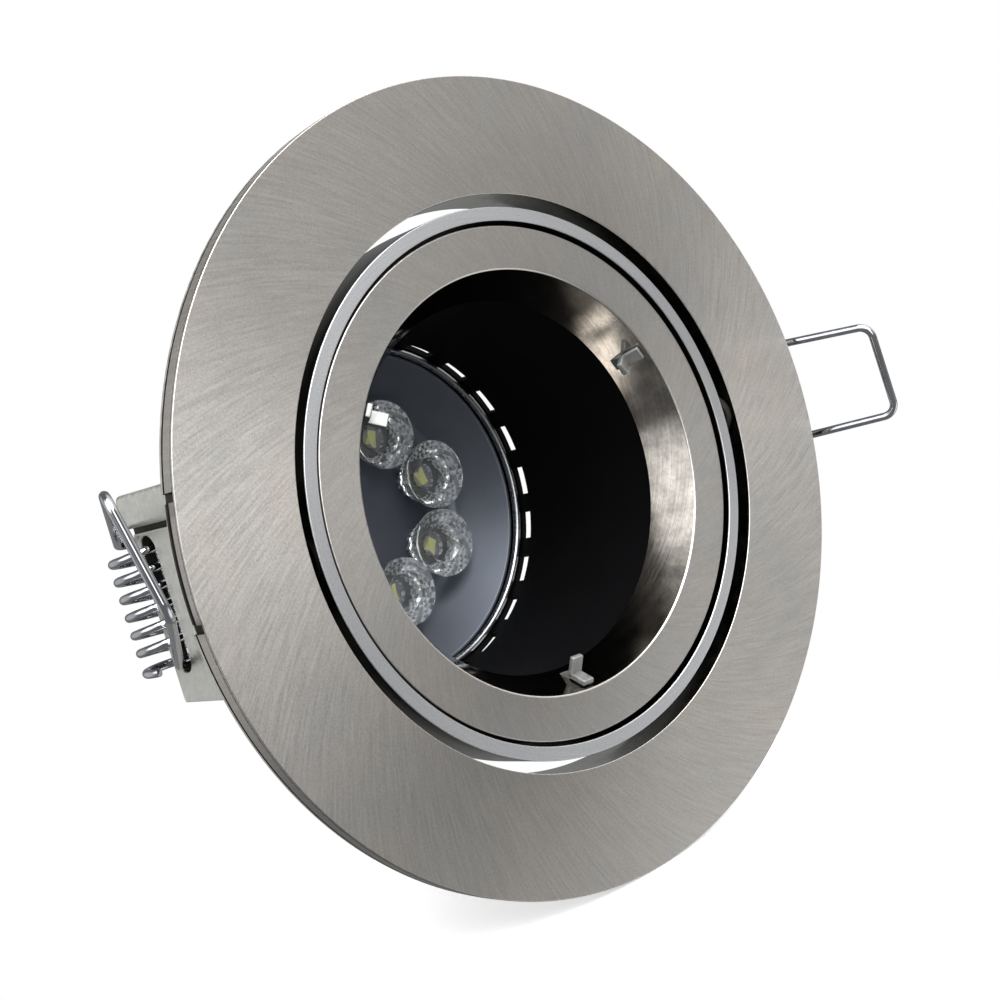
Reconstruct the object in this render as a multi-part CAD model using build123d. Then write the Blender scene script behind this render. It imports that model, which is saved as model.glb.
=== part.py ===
# Recessed gimbal downlight with a deep black baffle, a reflector lamp and two wire spring clips.
# Millimetres and degrees. The lamp axis is Y: the light leaves towards -Y and the ceiling void lies at +Y.
# The rear face of the trim flange, which lies on the ceiling, is the plane y = 0.
# The clips are at -X and +X.
# An azimuth is counted in the X-Z plane from +X towards +Z, as it looks from the front.

import math
import os

from build123d import *

# Trim flange: a die-cast ring with a stepped rim, a shallow recess behind and a collar round the opening
flange_face_width = 16.1
flange_thickness = 3.2
flange_edge_round = 0.4
rim_step_height = 1.2
rim_step_inset = 0.5
rear_land = 3.0
rear_recess = 1.0
relief_depth = 1.6
relief_length = 19.2
opening_round = 0.4
collar_wall = 2.1
collar_depth = 4.8

# Clip brackets cast on the flange: two end blocks and a slotted wall between them
bracket_gap = 2.8
bracket_wall = 2.2
bracket_depth = 25.3
bracket_root = 0.4
bar_width = 1.2
bar_round = 0.3
spring_slot_width = 3.8
spring_slot_length = 20.2
block_width = 4.2
block_proud = 0.9
block_depth = 25.7
block_round = 1.6

# Gimbal ring and its two pivot screws, which lie along X
gimbal_gap = 1.6
gimbal_wall = 1.9
gimbal_depth = 8.6
gimbal_set_back = 0.7
gimbal_round = 0.4
pivot_y = 1.8
pivot_radius = 1.5
pivot_clearance = 0.05
pivot_seat_clearance = 0.02
pivot_end_clearance = 0.15
pivot_boss_radius = 3.6
driver_slot_width = 0.6
driver_slot_depth = 0.8
washer_radius = 3.0
washer_thickness = 1.1

# Bezel: a twist-off ring with a polished conical mouth, held by three bayonet lugs behind a ledge
bezel_gap = 0.5
bezel_set_back = 0.6
bezel_round = 0.5
bezel_face_width = 6.0
mouth_round = 0.25
cone_depth = 6.1
cone_spread = 3.05
cone_wall = 1.3
ledge_reach = 2.9
ledge_thickness = 1.4
bayonet_clearance = 0.3
bayonet_neck = 1.5
bayonet_lug_reach = 1.8
bayonet_lug_thickness = 1.3
bayonet_lug_width = 20.0
bayonet_notch_spare = 4.0
bayonet_count = 3
bayonet_first_azimuth = 90.0
bezel_twist = 30.0

# Baffle tube: thin black tube with a ring of windows, an inturned lamp seat and three split tabs
lamp_pass = 0.5
tube_step = 0.55
tube_wall = 0.8
tube_depth = 35.0
seat_thickness = 1.0
window_count = 23
window_width = 4.3
window_height = 2.1
window_to_seat = 5.2
window_first_azimuth = 11.1
tab_count = 3
tab_first_azimuth = 26.5
tab_width = 1.7
tab_thickness = 0.8
tab_stem = 3.2
tab_prong = 2.4
tab_inner_tilt = 62.0
tab_slot_clearance = 0.3

# Snap ring: an open wire ring that keeps the lamp on its seat
snap_wire_radius = 0.6
snap_bore_clearance = 0.1
snap_lamp_clearance = 0.3
snap_gap_azimuth = 172.0
snap_gap_width = 26.0
snap_ear = 2.6
snap_bend = 1.3
snap_arcs = 4

# Reflector lamp with a ring of collimating lenses and a two-pin twist base
lamp_radius = 25.35
lamp_rim_height = 2.5
lamp_rim_round = 0.5
lamp_rim_width = 0.9
dish_depth = 6.7
dish_floor_radius = 18.2
dish_back_height = 5.4
seat_clearance = 0.3
seat_gap = 0.2
board_radius = 18.6
board_thickness = 1.4
board_clearance = 0.1
lens_count = 7
lens_ring_radius = 12.6
lens_first_azimuth = 14.9
lens_top_radius = 5.4
lens_base_radius = 3.0
lens_height = 6.6
lens_edge = 0.6
lens_well_radius = 2.0
lens_well_depth = 2.4
lens_dimple_radius = 2.6
lens_dimple_floor = 1.6
lens_dimple_depth = 0.7
led_size = 2.4
led_height = 1.9
led_hole_clearance = 0.25
sink_plate = 2.8
sink_length = 20.6
sink_core_front = 16.0
sink_core_rear = 11.5
sink_fin_front = 23.4
sink_fin_rear = 13.4
sink_fin_count = 20
sink_fin_thickness = 1.5
sink_collar_radius = 13.6
sink_collar_length = 4.5
base_shoulder_radius = 12.6
base_shoulder_length = 7.0
base_plug_radius = 10.2
base_plug_length = 3.7
base_round = 0.8
pin_spacing = 10.0
pin_neck_radius = 1.5
pin_neck_length = 3.2
pin_head_radius = 2.5
pin_head_length = 3.0
pin_head_round = 0.7

# Wire spring clips: a coil hung on the bracket's rear bar, which ends in a U-shaped bail and hooks back
spring_wire_radius = 0.6
coil_radius = 3.7
coil_pitch = 2.4
coil_turns = 6.4
coil_top = 8.2
coil_set_in = 0.5
hook_height = -9.0
hook_reach = 1.1
hook_bend = 1.6
hook_sweep = 250.0
bail_angle = {"left": 64.6, "right": 63.0}
bail_reach = 42.2
bail_width = 13.7
bail_bend = 2.0
bail_coil_side = 1.8
bail_hook_side = -1.6
bail_lead_in = 6.0
bail_sway = {"left": 8.3, "right": 1.5}
gap_samples_per_edge = 12

# Places along the axis
front_y = -flange_thickness
gimbal_front_y = front_y + gimbal_set_back
gimbal_rear_y = gimbal_front_y + gimbal_depth
ledge_front_y = gimbal_rear_y - ledge_thickness
bezel_front_y = gimbal_front_y + bezel_set_back
bezel_skirt_y = ledge_front_y - bayonet_clearance
bezel_lug_y = gimbal_rear_y + bayonet_clearance
bezel_rear_y = bezel_lug_y + bayonet_lug_thickness
cone_back_y = bezel_front_y + cone_depth
seat_y = cone_back_y + tube_depth
window_y = seat_y - window_to_seat
rim_rear_y = seat_y - seat_gap
lamp_front_y = rim_rear_y - lamp_rim_height
dish_floor_y = lamp_front_y + dish_depth
dish_back_y = rim_rear_y + dish_back_height
board_back_y = dish_back_y + board_thickness
sink_plate_y = dish_back_y + sink_plate
sink_rear_y = sink_plate_y + sink_length
collar_rear_y = sink_rear_y + sink_collar_length
shoulder_rear_y = collar_rear_y + base_shoulder_length
base_rear_y = shoulder_rear_y + base_plug_length
pin_head_y = base_rear_y + pin_neck_length
slot_centre_y = bracket_depth - bar_width - spring_slot_width / 2
coil_y = slot_centre_y + coil_radius

# Radii, worked out from the lamp outwards, and sideways places
cone_back_radius = lamp_radius + lamp_pass
cone_flare = cone_spread / cone_depth
tube_bore = cone_back_radius + tube_step
tube_radius = tube_bore + tube_wall
dish_back_radius = lamp_radius - lamp_rim_width - seat_clearance
seat_bore = dish_back_radius + seat_clearance
snap_radius = tube_bore - snap_bore_clearance - snap_wire_radius
mouth_radius = cone_back_radius + cone_spread
bezel_radius = mouth_radius + bezel_face_width
gimbal_bore = bezel_radius + bezel_gap
gimbal_radius = gimbal_bore + gimbal_wall
ledge_bore = gimbal_bore - ledge_reach
neck_radius = ledge_bore - bayonet_clearance
lug_radius = neck_radius + bayonet_lug_reach
opening_radius = gimbal_radius + gimbal_gap
collar_radius = opening_radius + collar_wall
flange_radius = opening_radius + flange_face_width
rim_rear_radius = flange_radius - rim_step_inset
bracket_inner_x = collar_radius + bracket_gap
bracket_outer_x = bracket_inner_x + bracket_wall
block_outer_x = bracket_outer_x + block_proud
coil_x = bracket_outer_x - coil_set_in
block_inner_z = spring_slot_length / 2


def outline(corners):
    """Closed face in the X-Y plane from (x, y, corner radius) triples."""
    points = [(x, y) for x, y, _ in corners]
    radii = [radius for _, _, radius in corners]
    return make_face(FilletPolyline(*points, radius=radii, close=True))


def turned(corners):
    """Solid of revolution about the lamp axis from (radius, y, corner radius) triples."""
    return revolve(outline(corners), Axis.Y)


def disc(radius, y_from, y_to, edge_round=0.0, bore=0.0):
    """Round disc or ring about the lamp axis, with its outer edges rounded."""
    return turned([
        (bore, y_from, 0),
        (radius, y_from, edge_round),
        (radius, y_to, edge_round),
        (bore, y_to, 0),
    ])


def at_azimuth(shape, azimuth):
    """Turn a shape that points along +X to an azimuth about the lamp axis."""
    return Rot(0, -azimuth, 0) * shape


def around(shape, count, first_azimuth=0.0):
    """Equal copies of a shape round the lamp axis."""
    return [at_azimuth(shape, first_azimuth + 360.0 * step / count) for step in range(count)]


def arc_block(inner, outer, y_from, y_to, width, azimuth):
    """Part of a ring, with its middle at the azimuth."""
    section = outline([(inner, y_from, 0), (outer, y_from, 0), (outer, y_to, 0), (inner, y_to, 0)])
    return at_azimuth(revolve(section, Axis.Y, revolution_arc=width), azimuth + width / 2)


def rod(radius, start, end):
    """Plain round rod between two points."""
    start = Vector(*start)
    run = Vector(*end) - start
    return extrude(Plane(start, z_dir=run) * Circle(radius), run.length)


def block(low, high):
    """Box between two corners."""
    size = [b - a for a, b in zip(low, high)]
    middle = [(a + b) / 2 for a, b in zip(low, high)]
    return Pos(*middle) * Box(*size)


def biarc(start, start_way, end, end_way):
    """Two arcs that leave a point one way and reach another point another way."""
    span = end - start
    ways = start_way + end_way
    bend = 2 * (1 - start_way.dot(end_way))
    root = math.sqrt(span.dot(ways) ** 2 + bend * span.dot(span))
    reach = (root - span.dot(ways)) / bend
    middle = (start + start_way * reach + end - end_way * reach) * 0.5
    first = Edge.make_tangent_arc(start, start_way, middle)
    return [first, Edge.make_tangent_arc(middle, first % 1, end)]


def wire_path(stations):
    """Smooth path through (point, direction) stations: straight where they line up, two arcs elsewhere."""
    edges = []
    for (start, start_way), (end, end_way) in zip(stations, stations[1:]):
        chord = (end - start).normalized()
        if chord.dot(start_way) > 1 - 1e-9 and chord.dot(end_way) > 1 - 1e-9:
            edges.append(Edge.make_line(start, end))
        else:
            edges.extend(biarc(start, start_way, end, end_way))
    return edges


def bend_stations(before, corner, after, radius):
    """Stations at both ends of the arc that rounds a corner."""
    way_in = (corner - before).normalized()
    way_out = (after - corner).normalized()
    turn = math.radians(way_in.get_angle(way_out))
    setback = radius * math.tan(turn / 2)
    return [(corner - way_in * setback, way_in), (corner + way_out * setback, way_out)]


def drawn_wire(edges, radius):
    """Round wire drawn along a path."""
    start = edges[0]
    return sweep(Plane(start @ 0, z_dir=start % 0) * Circle(radius), path=Wire(edges))


def least_gap(edges, radius):
    """Least clear distance between stretches of a wire that aren't neighbours along it."""
    points = []
    along = []
    travelled = 0.0
    for edge in edges:
        for step in range(gap_samples_per_edge):
            share = step / gap_samples_per_edge
            points.append(edge @ share)
            along.append(travelled + share * edge.length)
        travelled += edge.length
    apart = 3 * math.pi * radius
    least = math.inf
    for i, first in enumerate(points):
        for j in range(i + 1, len(points)):
            if along[j] - along[i] > apart:
                least = min(least, (points[j] - first).length)
    return least - 2 * radius


def clip_bracket():
    """Clip bracket on the +X side: end blocks and the slotted wall whose rear bar carries the coil."""
    root_y = -rear_recess - bracket_root
    wall = outline([
        (bracket_inner_x, root_y, 0),
        (bracket_outer_x, root_y, 0),
        (bracket_outer_x, bracket_depth, bar_round),
        (bracket_inner_x, bracket_depth, bar_round),
    ])
    body = extrude(wall, block_inner_z, both=True)
    end_block = outline([
        (collar_radius, root_y, 0),
        (block_outer_x, root_y, 0),
        (block_outer_x, block_depth, block_round),
        (bracket_inner_x, block_depth, block_round / 2),
        (bracket_inner_x, collar_depth, 0),
        (collar_radius, collar_depth - bracket_gap, 0),
    ])
    for side in (-1, 1):
        middle = side * (block_inner_z + block_width / 2)
        body += Pos(0, 0, middle) * extrude(end_block, block_width / 2, both=True)
    slot = Plane((bracket_inner_x, slot_centre_y, 0), x_dir=(0, 0, 1), z_dir=(1, 0, 0))
    slot *= SlotOverall(spring_slot_length, spring_slot_width)
    return body - extrude(slot, bracket_wall * 2, both=True)


def trim_flange():
    """Satin trim ring with its collar, pivot bosses and both clip brackets, cast in one."""
    land_inner = rim_rear_radius - rear_land
    ring = turned([
        (opening_radius, front_y, opening_round),
        (flange_radius, front_y, flange_edge_round),
        (flange_radius, -rim_step_height, 0),
        (rim_rear_radius, -rim_step_height, 0),
        (rim_rear_radius, 0, 0),
        (land_inner, 0, 0),
        (land_inner, -rear_recess, 0),
        (collar_radius, -rear_recess, 0),
        (collar_radius, collar_depth, 0),
        (opening_radius, collar_depth, 0),
    ])
    low = (rim_rear_radius - relief_depth, -rim_step_height, -relief_length / 2)
    high = (flange_radius, rim_step_height, relief_length / 2)
    ring -= around(block(low, high), 2)
    hole_radius = pivot_radius + pivot_seat_clearance
    boss_inner = opening_radius + collar_wall / 2
    for side in (-1, 1):
        boss_ends = (side * boss_inner, pivot_y, 0), (side * bracket_outer_x, pivot_y, 0)
        ring += rod(pivot_boss_radius, *boss_ends)
        ring += at_azimuth(clip_bracket(), 90.0 - side * 90.0)
    bore = rod(hole_radius, (-block_outer_x, pivot_y, 0), (block_outer_x, pivot_y, 0))
    inside = disc(opening_radius, front_y, collar_depth)
    return ring - (bore - inside)


def pivot_screws():
    """Two slotted pivot screws in the flange whose plain noses carry the gimbal ring."""
    nose = gimbal_bore + pivot_end_clearance
    screws = []
    for azimuth in (0.0, 180.0):
        screw = rod(pivot_radius, (nose, pivot_y, 0), (bracket_outer_x, pivot_y, 0))
        half_slot = driver_slot_width / 2
        low = (bracket_outer_x - driver_slot_depth, pivot_y - half_slot, -pivot_radius)
        high = (bracket_outer_x + driver_slot_depth, pivot_y + half_slot, pivot_radius)
        screws.append(at_azimuth(screw - block(low, high), azimuth))
    return screws


def friction_washers():
    """Two washers on the pivot screws, in the gap between the collar and the gimbal ring."""
    middle = (opening_radius + gimbal_radius) / 2
    inner = (middle - washer_thickness / 2, pivot_y, 0)
    outer = (middle + washer_thickness / 2, pivot_y, 0)
    washer = rod(washer_radius, inner, outer) - rod(pivot_radius + pivot_seat_clearance, inner, outer)
    return [at_azimuth(washer, azimuth) for azimuth in (0.0, 180.0)]


def gimbal_ring():
    """Tilting ring with a rear ledge, bayonet notches and two pivot holes."""
    ring = turned([
        (gimbal_bore, gimbal_front_y, gimbal_round),
        (gimbal_radius, gimbal_front_y, gimbal_round),
        (gimbal_radius, gimbal_rear_y, gimbal_round),
        (ledge_bore, gimbal_rear_y, 0),
        (ledge_bore, ledge_front_y, 0),
        (gimbal_bore, ledge_front_y, 0),
    ])
    ring -= rod(pivot_radius + pivot_clearance, (-opening_radius, pivot_y, 0), (opening_radius, pivot_y, 0))
    notch_width = bayonet_lug_width + bayonet_notch_spare
    for step in range(bayonet_count):
        azimuth = bayonet_first_azimuth + bezel_twist + 360.0 * step / bayonet_count
        inner = ledge_bore - bayonet_clearance
        outer = lug_radius + bayonet_clearance
        rear = gimbal_rear_y + bayonet_clearance
        ring -= arc_block(inner, outer, ledge_front_y, rear, notch_width, azimuth)
    return ring


def bezel_ring():
    """Twist-off bezel: satin face, polished cone, skirt, bayonet neck and lugs, and slots for the tabs."""
    wall_across = cone_wall * math.hypot(1, cone_flare)
    neck_bore = neck_radius - bayonet_neck
    hollow_y = bezel_front_y + cone_wall + bezel_round
    hollow_radius = cone_back_radius + wall_across + cone_flare * (cone_back_y - hollow_y)
    ring = turned([
        (mouth_radius, bezel_front_y, mouth_round),
        (bezel_radius, bezel_front_y, bezel_round),
        (bezel_radius, bezel_skirt_y, 0),
        (neck_radius, bezel_skirt_y, 0),
        (neck_radius, bezel_rear_y, 0),
        (neck_bore, bezel_rear_y, 0),
        (neck_bore, hollow_y, 0),
        (hollow_radius, hollow_y, 0),
        (cone_back_radius + wall_across, cone_back_y, 0),
        (cone_back_radius, cone_back_y, 0),
    ])
    for step in range(bayonet_count):
        azimuth = bayonet_first_azimuth + 360.0 * step / bayonet_count
        inner = neck_radius - bayonet_neck / 2
        ring += arc_block(inner, lug_radius, bezel_lug_y, bezel_rear_y, bayonet_lug_width, azimuth)
    half = tab_width / 2 + tab_slot_clearance
    low = (cone_back_radius - cone_wall, cone_back_y - tab_stem - tab_slot_clearance, -half)
    high = (tube_radius + tab_slot_clearance, cone_back_y + tab_slot_clearance, half)
    return ring - around(block(low, high), tab_count, tab_first_azimuth)


def baffle_tube():
    """Black tube behind the cone, with a ring of windows and the inturned seat for the lamp."""
    tube = turned([
        (tube_bore, cone_back_y, 0),
        (tube_radius, cone_back_y, 0),
        (tube_radius, seat_y + seat_thickness, seat_thickness / 2),
        (seat_bore, seat_y + seat_thickness, 0),
        (seat_bore, seat_y, 0),
        (tube_bore, seat_y, 0),
    ])
    half_width = window_width / 2
    half_height = window_height / 2
    low = (tube_bore - tube_wall, window_y - half_height, -half_width)
    high = (tube_radius + tube_wall, window_y + half_height, half_width)
    return tube - around(block(low, high), window_count, window_first_azimuth)


def split_tab(azimuth):
    """Tab of the tube that comes through the cone, slit at its end and splayed to both sides."""
    middle = (tube_bore + tube_radius) / 2
    fork_y = cone_back_y - tab_stem
    stem = Pos(middle, cone_back_y - tab_stem / 2) * Rectangle(tab_thickness, tab_stem)
    strip = Pos(0, -tab_prong / 2) * Rectangle(tab_thickness, tab_prong)
    profile = stem + Pos(middle, fork_y) * Circle(tab_thickness / 2)
    for tilt in (-tab_inner_tilt, math.degrees(math.atan(cone_flare))):
        profile += Pos(middle, fork_y) * Rot(0, 0, tilt) * strip
    return at_azimuth(extrude(profile, tab_width / 2, both=True), azimuth)


def lamp_snap_ring():
    """Open wire ring in front of the lamp's rim, with both ends turned inwards as finger ears."""
    ring_y = lamp_front_y - snap_lamp_clearance - snap_wire_radius
    start = snap_gap_azimuth + snap_gap_width / 2
    sweep_angle = 360.0 - snap_gap_width

    def station(azimuth):
        angle = math.radians(azimuth)
        point = Vector(snap_radius * math.cos(angle), ring_y, snap_radius * math.sin(angle))
        return point, Vector(-math.sin(angle), 0, math.cos(angle))

    stations = [station(start + sweep_angle * step / snap_arcs) for step in range(snap_arcs + 1)]
    first, first_way = stations[0]
    last, last_way = stations[-1]
    inward_first = Vector(-first.X, 0, -first.Z).normalized()
    inward_last = Vector(-last.X, 0, -last.Z).normalized()
    corner = first - first_way * snap_bend
    lead = [(corner + inward_first * snap_ear, inward_first * -1)]
    lead += [(corner + inward_first * snap_bend, inward_first * -1)]
    corner = last + last_way * snap_bend
    tail = [(corner + inward_last * snap_bend, inward_last)]
    tail += [(corner + inward_last * snap_ear, inward_last)]
    return drawn_wire(wire_path(lead + stations + tail), snap_wire_radius)


def lamp_dish():
    """Grey front of the lamp: a thin rim, a conical dish and a floor with a hole for each emitter."""
    dish = turned([
        (0, dish_floor_y, 0),
        (dish_floor_radius, dish_floor_y, 0),
        (lamp_radius - lamp_rim_width, lamp_front_y, 0),
        (lamp_radius, lamp_front_y, lamp_rim_round),
        (lamp_radius, rim_rear_y, 0),
        (dish_back_radius, rim_rear_y, 0),
        (dish_back_radius, dish_back_y, 0),
        (0, dish_back_y, 0),
    ])
    hole_radius = led_size / math.sqrt(2) + led_hole_clearance
    hole = rod(hole_radius, (lens_ring_radius, dish_floor_y, 0), (lens_ring_radius, dish_back_y, 0))
    return dish - around(hole, lens_count, lens_first_azimuth)


def led_board():
    """Round circuit board behind the dish that carries the emitters."""
    return disc(board_radius, dish_back_y, board_back_y)


def led_emitter(azimuth):
    """Square emitter on the board, standing up through its hole in the dish floor."""
    half = led_size / 2
    low = (lens_ring_radius - half, dish_back_y - led_height, -half)
    high = (lens_ring_radius + half, dish_back_y, half)
    return at_azimuth(block(low, high), azimuth)


def collimating_lens(azimuth):
    """Clear conical lens over an emitter, with a well at its foot and a dimple in its face."""
    top_y = dish_floor_y - lens_height
    profile = outline([
        (0, top_y + lens_dimple_depth, 0),
        (lens_dimple_floor, top_y + lens_dimple_depth, 0),
        (lens_dimple_radius, top_y, 0),
        (lens_top_radius, top_y, 0),
        (lens_top_radius, top_y + lens_edge, 0),
        (lens_base_radius, dish_floor_y, 0),
        (lens_well_radius, dish_floor_y, 0),
        (lens_well_radius, dish_floor_y - lens_well_depth, 0),
        (0, dish_floor_y - lens_well_depth, 0),
    ])
    lens = Pos(lens_ring_radius, 0, 0) * revolve(profile, Axis.Y)
    return at_azimuth(lens, azimuth)


def lamp_body():
    """Finned heat sink of the lamp, with a pocket for the board and a plain collar at the rear."""
    pocket_radius = board_radius + board_clearance
    core = turned([
        (0, board_back_y, 0),
        (pocket_radius, board_back_y, 0),
        (pocket_radius, dish_back_y, 0),
        (dish_back_radius, dish_back_y, 0),
        (dish_back_radius, sink_plate_y, 0),
        (sink_core_front, sink_plate_y, 0),
        (sink_core_rear, sink_rear_y, 0),
        (sink_collar_radius, sink_rear_y, 0),
        (sink_collar_radius, collar_rear_y, base_round),
        (0, collar_rear_y, 0),
    ])
    overlap = sink_fin_thickness / 2
    fin = outline([
        (sink_core_rear / 2, sink_plate_y - overlap, 0),
        (sink_fin_front, sink_plate_y - overlap, 0),
        (sink_fin_rear, sink_rear_y + overlap, 0),
        (sink_core_rear / 2, sink_rear_y + overlap, 0),
    ])
    fins = around(extrude(fin, sink_fin_thickness / 2, both=True), sink_fin_count)
    return core + fins


def lamp_base():
    """Stepped insulating base of the lamp."""
    return turned([
        (0, collar_rear_y, 0),
        (base_shoulder_radius, collar_rear_y, 0),
        (base_shoulder_radius, shoulder_rear_y, base_round),
        (base_plug_radius, shoulder_rear_y, 0),
        (base_plug_radius, base_rear_y, base_round),
        (0, base_rear_y, 0),
    ])


def contact_pins():
    """Two headed contact pins of the twist base."""
    tip_y = pin_head_y + pin_head_length
    pin = turned([
        (0, base_rear_y, 0),
        (pin_neck_radius, base_rear_y, 0),
        (pin_neck_radius, pin_head_y, 0),
        (pin_head_radius, pin_head_y, 0),
        (pin_head_radius, tip_y, pin_head_round),
        (0, tip_y, 0),
    ])
    return around(Pos(pin_spacing / 2, 0, 0) * pin, 2)


def clip_point(side, outward, forward, height):
    """Point given in a clip's own terms from its coil axis; the right clip is turned half round."""
    hand = -1 if side == "left" else 1
    return Vector(hand * (coil_x + outward), coil_y - forward, -hand * height)


def spring_path(side):
    """Path of one spring wire: tail, coil, first leg, cross bar, second leg and the hook round the bar."""
    rest = math.radians(bail_angle[side])

    def spot(outward, forward, height):
        return clip_point(side, outward, forward, height)

    def on_bail(reach, across, height):
        outward = reach * math.cos(rest) + across * math.sin(rest)
        forward = reach * math.sin(rest) - across * math.cos(rest)
        return spot(outward, forward, height)

    def on_turn(angle, height, rise):
        point = spot(coil_radius * math.cos(angle), coil_radius * math.sin(angle), height)
        ahead = spot(-coil_radius * math.sin(angle), coil_radius * math.cos(angle), rise)
        return point, (ahead - spot(0, 0, 0)).normalized()

    leave = rest - math.pi / 2
    half_turns = math.ceil(2 * coil_turns)
    rise = coil_pitch / (2 * math.pi)
    stations = []
    for step in range(half_turns + 1):
        back = 2 * math.pi * coil_turns * (1 - step / half_turns)
        stations.append(on_turn(leave - back, coil_top - rise * back, rise))

    middle_height = (coil_top + hook_height) / 2 + bail_sway[side]
    coil_corner = on_bail(bail_reach, bail_coil_side, middle_height + bail_width / 2)
    hook_corner = on_bail(bail_reach, bail_hook_side, middle_height - bail_width / 2)
    leg_start = stations[-1][0]
    leg_way = (coil_corner - leg_start).normalized()
    stations.append((leg_start + leg_way * bail_lead_in, leg_way))
    stations += bend_stations(leg_start, coil_corner, hook_corner, bail_bend)
    entry = spot(hook_reach, coil_radius, hook_height)
    inside = spot(0, coil_radius, hook_height)
    stations += bend_stations(coil_corner, hook_corner, entry, bail_bend)
    stations += bend_stations(hook_corner, entry, inside, hook_bend)
    quarter_turns = math.ceil(hook_sweep / 90.0)
    for step in range(quarter_turns + 1):
        angle = math.pi / 2 + math.radians(hook_sweep) * step / quarter_turns
        stations.append(on_turn(angle, hook_height, 0))
    return wire_path(stations)


def spring_clip(side):
    """Spring wire of one clip, with its least gap to itself printed."""
    edges = spring_path(side)
    print(f"spring_{side}: least gap to itself {least_gap(edges, spring_wire_radius):.2f} mm")
    return drawn_wire(edges, spring_wire_radius)


def save(name, shape):
    """Write one node, as a group where it has several solids."""
    solids = shape if isinstance(shape, list) else [shape]
    solids = [solid for item in solids for solid in item.solids()]
    export_step(solids[0] if len(solids) == 1 else Compound(children=solids), f"parts/{name}.step")


os.makedirs("parts", exist_ok=True)
save("trim_flange", trim_flange())
save("pivot_screws", pivot_screws())
save("friction_washers", friction_washers())
save("gimbal_ring", gimbal_ring())
save("bezel_ring", bezel_ring())
save("baffle_tube", baffle_tube())
for number in range(tab_count):
    save(f"split_tab_{number + 1}", split_tab(tab_first_azimuth + 360.0 * number / tab_count))
save("lamp_snap_ring", lamp_snap_ring())
save("lamp_dish", lamp_dish())
save("led_board", led_board())
for number in range(lens_count):
    lens_azimuth = lens_first_azimuth + 360.0 * number / lens_count
    save(f"led_{number + 1}", led_emitter(lens_azimuth))
    save(f"lens_{number + 1}", collimating_lens(lens_azimuth))
save("lamp_body", lamp_body())
save("lamp_base", lamp_base())
save("contact_pins", contact_pins())
save("spring_left", spring_clip("left"))
save("spring_right", spring_clip("right"))
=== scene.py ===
"""Studio scene of a recessed gimbal downlight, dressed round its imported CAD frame.

Sizes are in millimetres and are turned to metres when a mesh is finished. The lamp axis is Y and the light
leaves towards -Y. An azimuth is counted in the X-Z plane from +X towards +Z, as it looks from the front.
"""

from __future__ import annotations

import logging
import math
from dataclasses import dataclass, field
from enum import Enum
from functools import partial
from typing import Callable

import bmesh
import bpy
from mathutils import Matrix, Vector

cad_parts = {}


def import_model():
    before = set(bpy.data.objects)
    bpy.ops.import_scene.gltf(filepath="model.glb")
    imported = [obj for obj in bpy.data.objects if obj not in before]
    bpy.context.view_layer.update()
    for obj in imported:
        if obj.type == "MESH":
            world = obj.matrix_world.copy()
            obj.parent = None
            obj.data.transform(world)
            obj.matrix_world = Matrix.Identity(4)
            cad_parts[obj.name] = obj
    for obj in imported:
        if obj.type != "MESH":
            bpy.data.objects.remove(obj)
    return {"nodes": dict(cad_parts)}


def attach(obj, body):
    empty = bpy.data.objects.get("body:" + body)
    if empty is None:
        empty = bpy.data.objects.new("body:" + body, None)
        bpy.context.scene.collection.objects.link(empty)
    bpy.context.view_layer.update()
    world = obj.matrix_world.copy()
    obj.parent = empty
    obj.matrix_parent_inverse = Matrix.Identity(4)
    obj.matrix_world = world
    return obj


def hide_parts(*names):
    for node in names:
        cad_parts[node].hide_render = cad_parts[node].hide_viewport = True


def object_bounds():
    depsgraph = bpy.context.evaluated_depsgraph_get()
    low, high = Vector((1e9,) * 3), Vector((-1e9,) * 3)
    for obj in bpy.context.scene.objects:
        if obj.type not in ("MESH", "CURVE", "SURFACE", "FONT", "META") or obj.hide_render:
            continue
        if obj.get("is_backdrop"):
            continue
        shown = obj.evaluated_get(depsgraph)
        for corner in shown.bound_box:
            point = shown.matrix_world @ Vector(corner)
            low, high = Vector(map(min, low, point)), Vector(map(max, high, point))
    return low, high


LOG = logging.getLogger("downlight")
MM = 0.001
WELD = 1e-4
STRAIGHT = 1 - 1e-5
SHARP_EDGE = math.radians(32.0)
FULL_TURN = 2 * math.pi
LAMP_AXIS = Vector((0, 1, 0))
CORNER_SEGMENTS = 4
SLAB_SEGMENTS = 3
FINE_SEGMENTS = 2
FLAT_WEIGHT = 100
# Most of a noise pattern lies between these two values
NOISE_MIDDLE = (0.35, 0.65)

Mesh = bmesh.types.BMesh
Edges = list[bmesh.types.BMEdge]
Tree = bpy.types.NodeTree
Socket = bpy.types.NodeSocket
Shading = tuple[dict[str, object], dict[str, Socket]]
Profile = list[tuple[float, float, float]]
Station = tuple[Vector, Vector]


class Body(Enum):
    """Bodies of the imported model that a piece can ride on."""

    HOUSING = "housing"
    GIMBAL = "gimbal"
    BEZEL = "bezel"
    LAMP = "lamp"
    CLIP_LEFT = "clip_left"
    CLIP_RIGHT = "clip_right"


class Slot(Enum):
    """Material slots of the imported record."""

    NICKEL = "satin_nickel"
    ENAMEL = "black_enamel"
    BRIGHT_STEEL = "bright_steel"
    WIRE = "spring_wire"
    FIBRE = "fibre_black"
    LAMP_GREY = "lamp_grey"
    LENS = "lens_clear"
    EMITTER = "emitter_yellow"
    SINK = "sink_aluminium"
    BASE = "base_white"
    BRASS = "contact_brass"


class Side(Enum):
    """The two spring clips; the right one is the left one turned half round the lamp axis."""

    LEFT = -1
    RIGHT = 1

    def turn(self) -> Matrix:
        """Turn about the lamp axis that takes the right side to this one."""
        return azimuth_turn(90.0 - self.value * 90.0)


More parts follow.
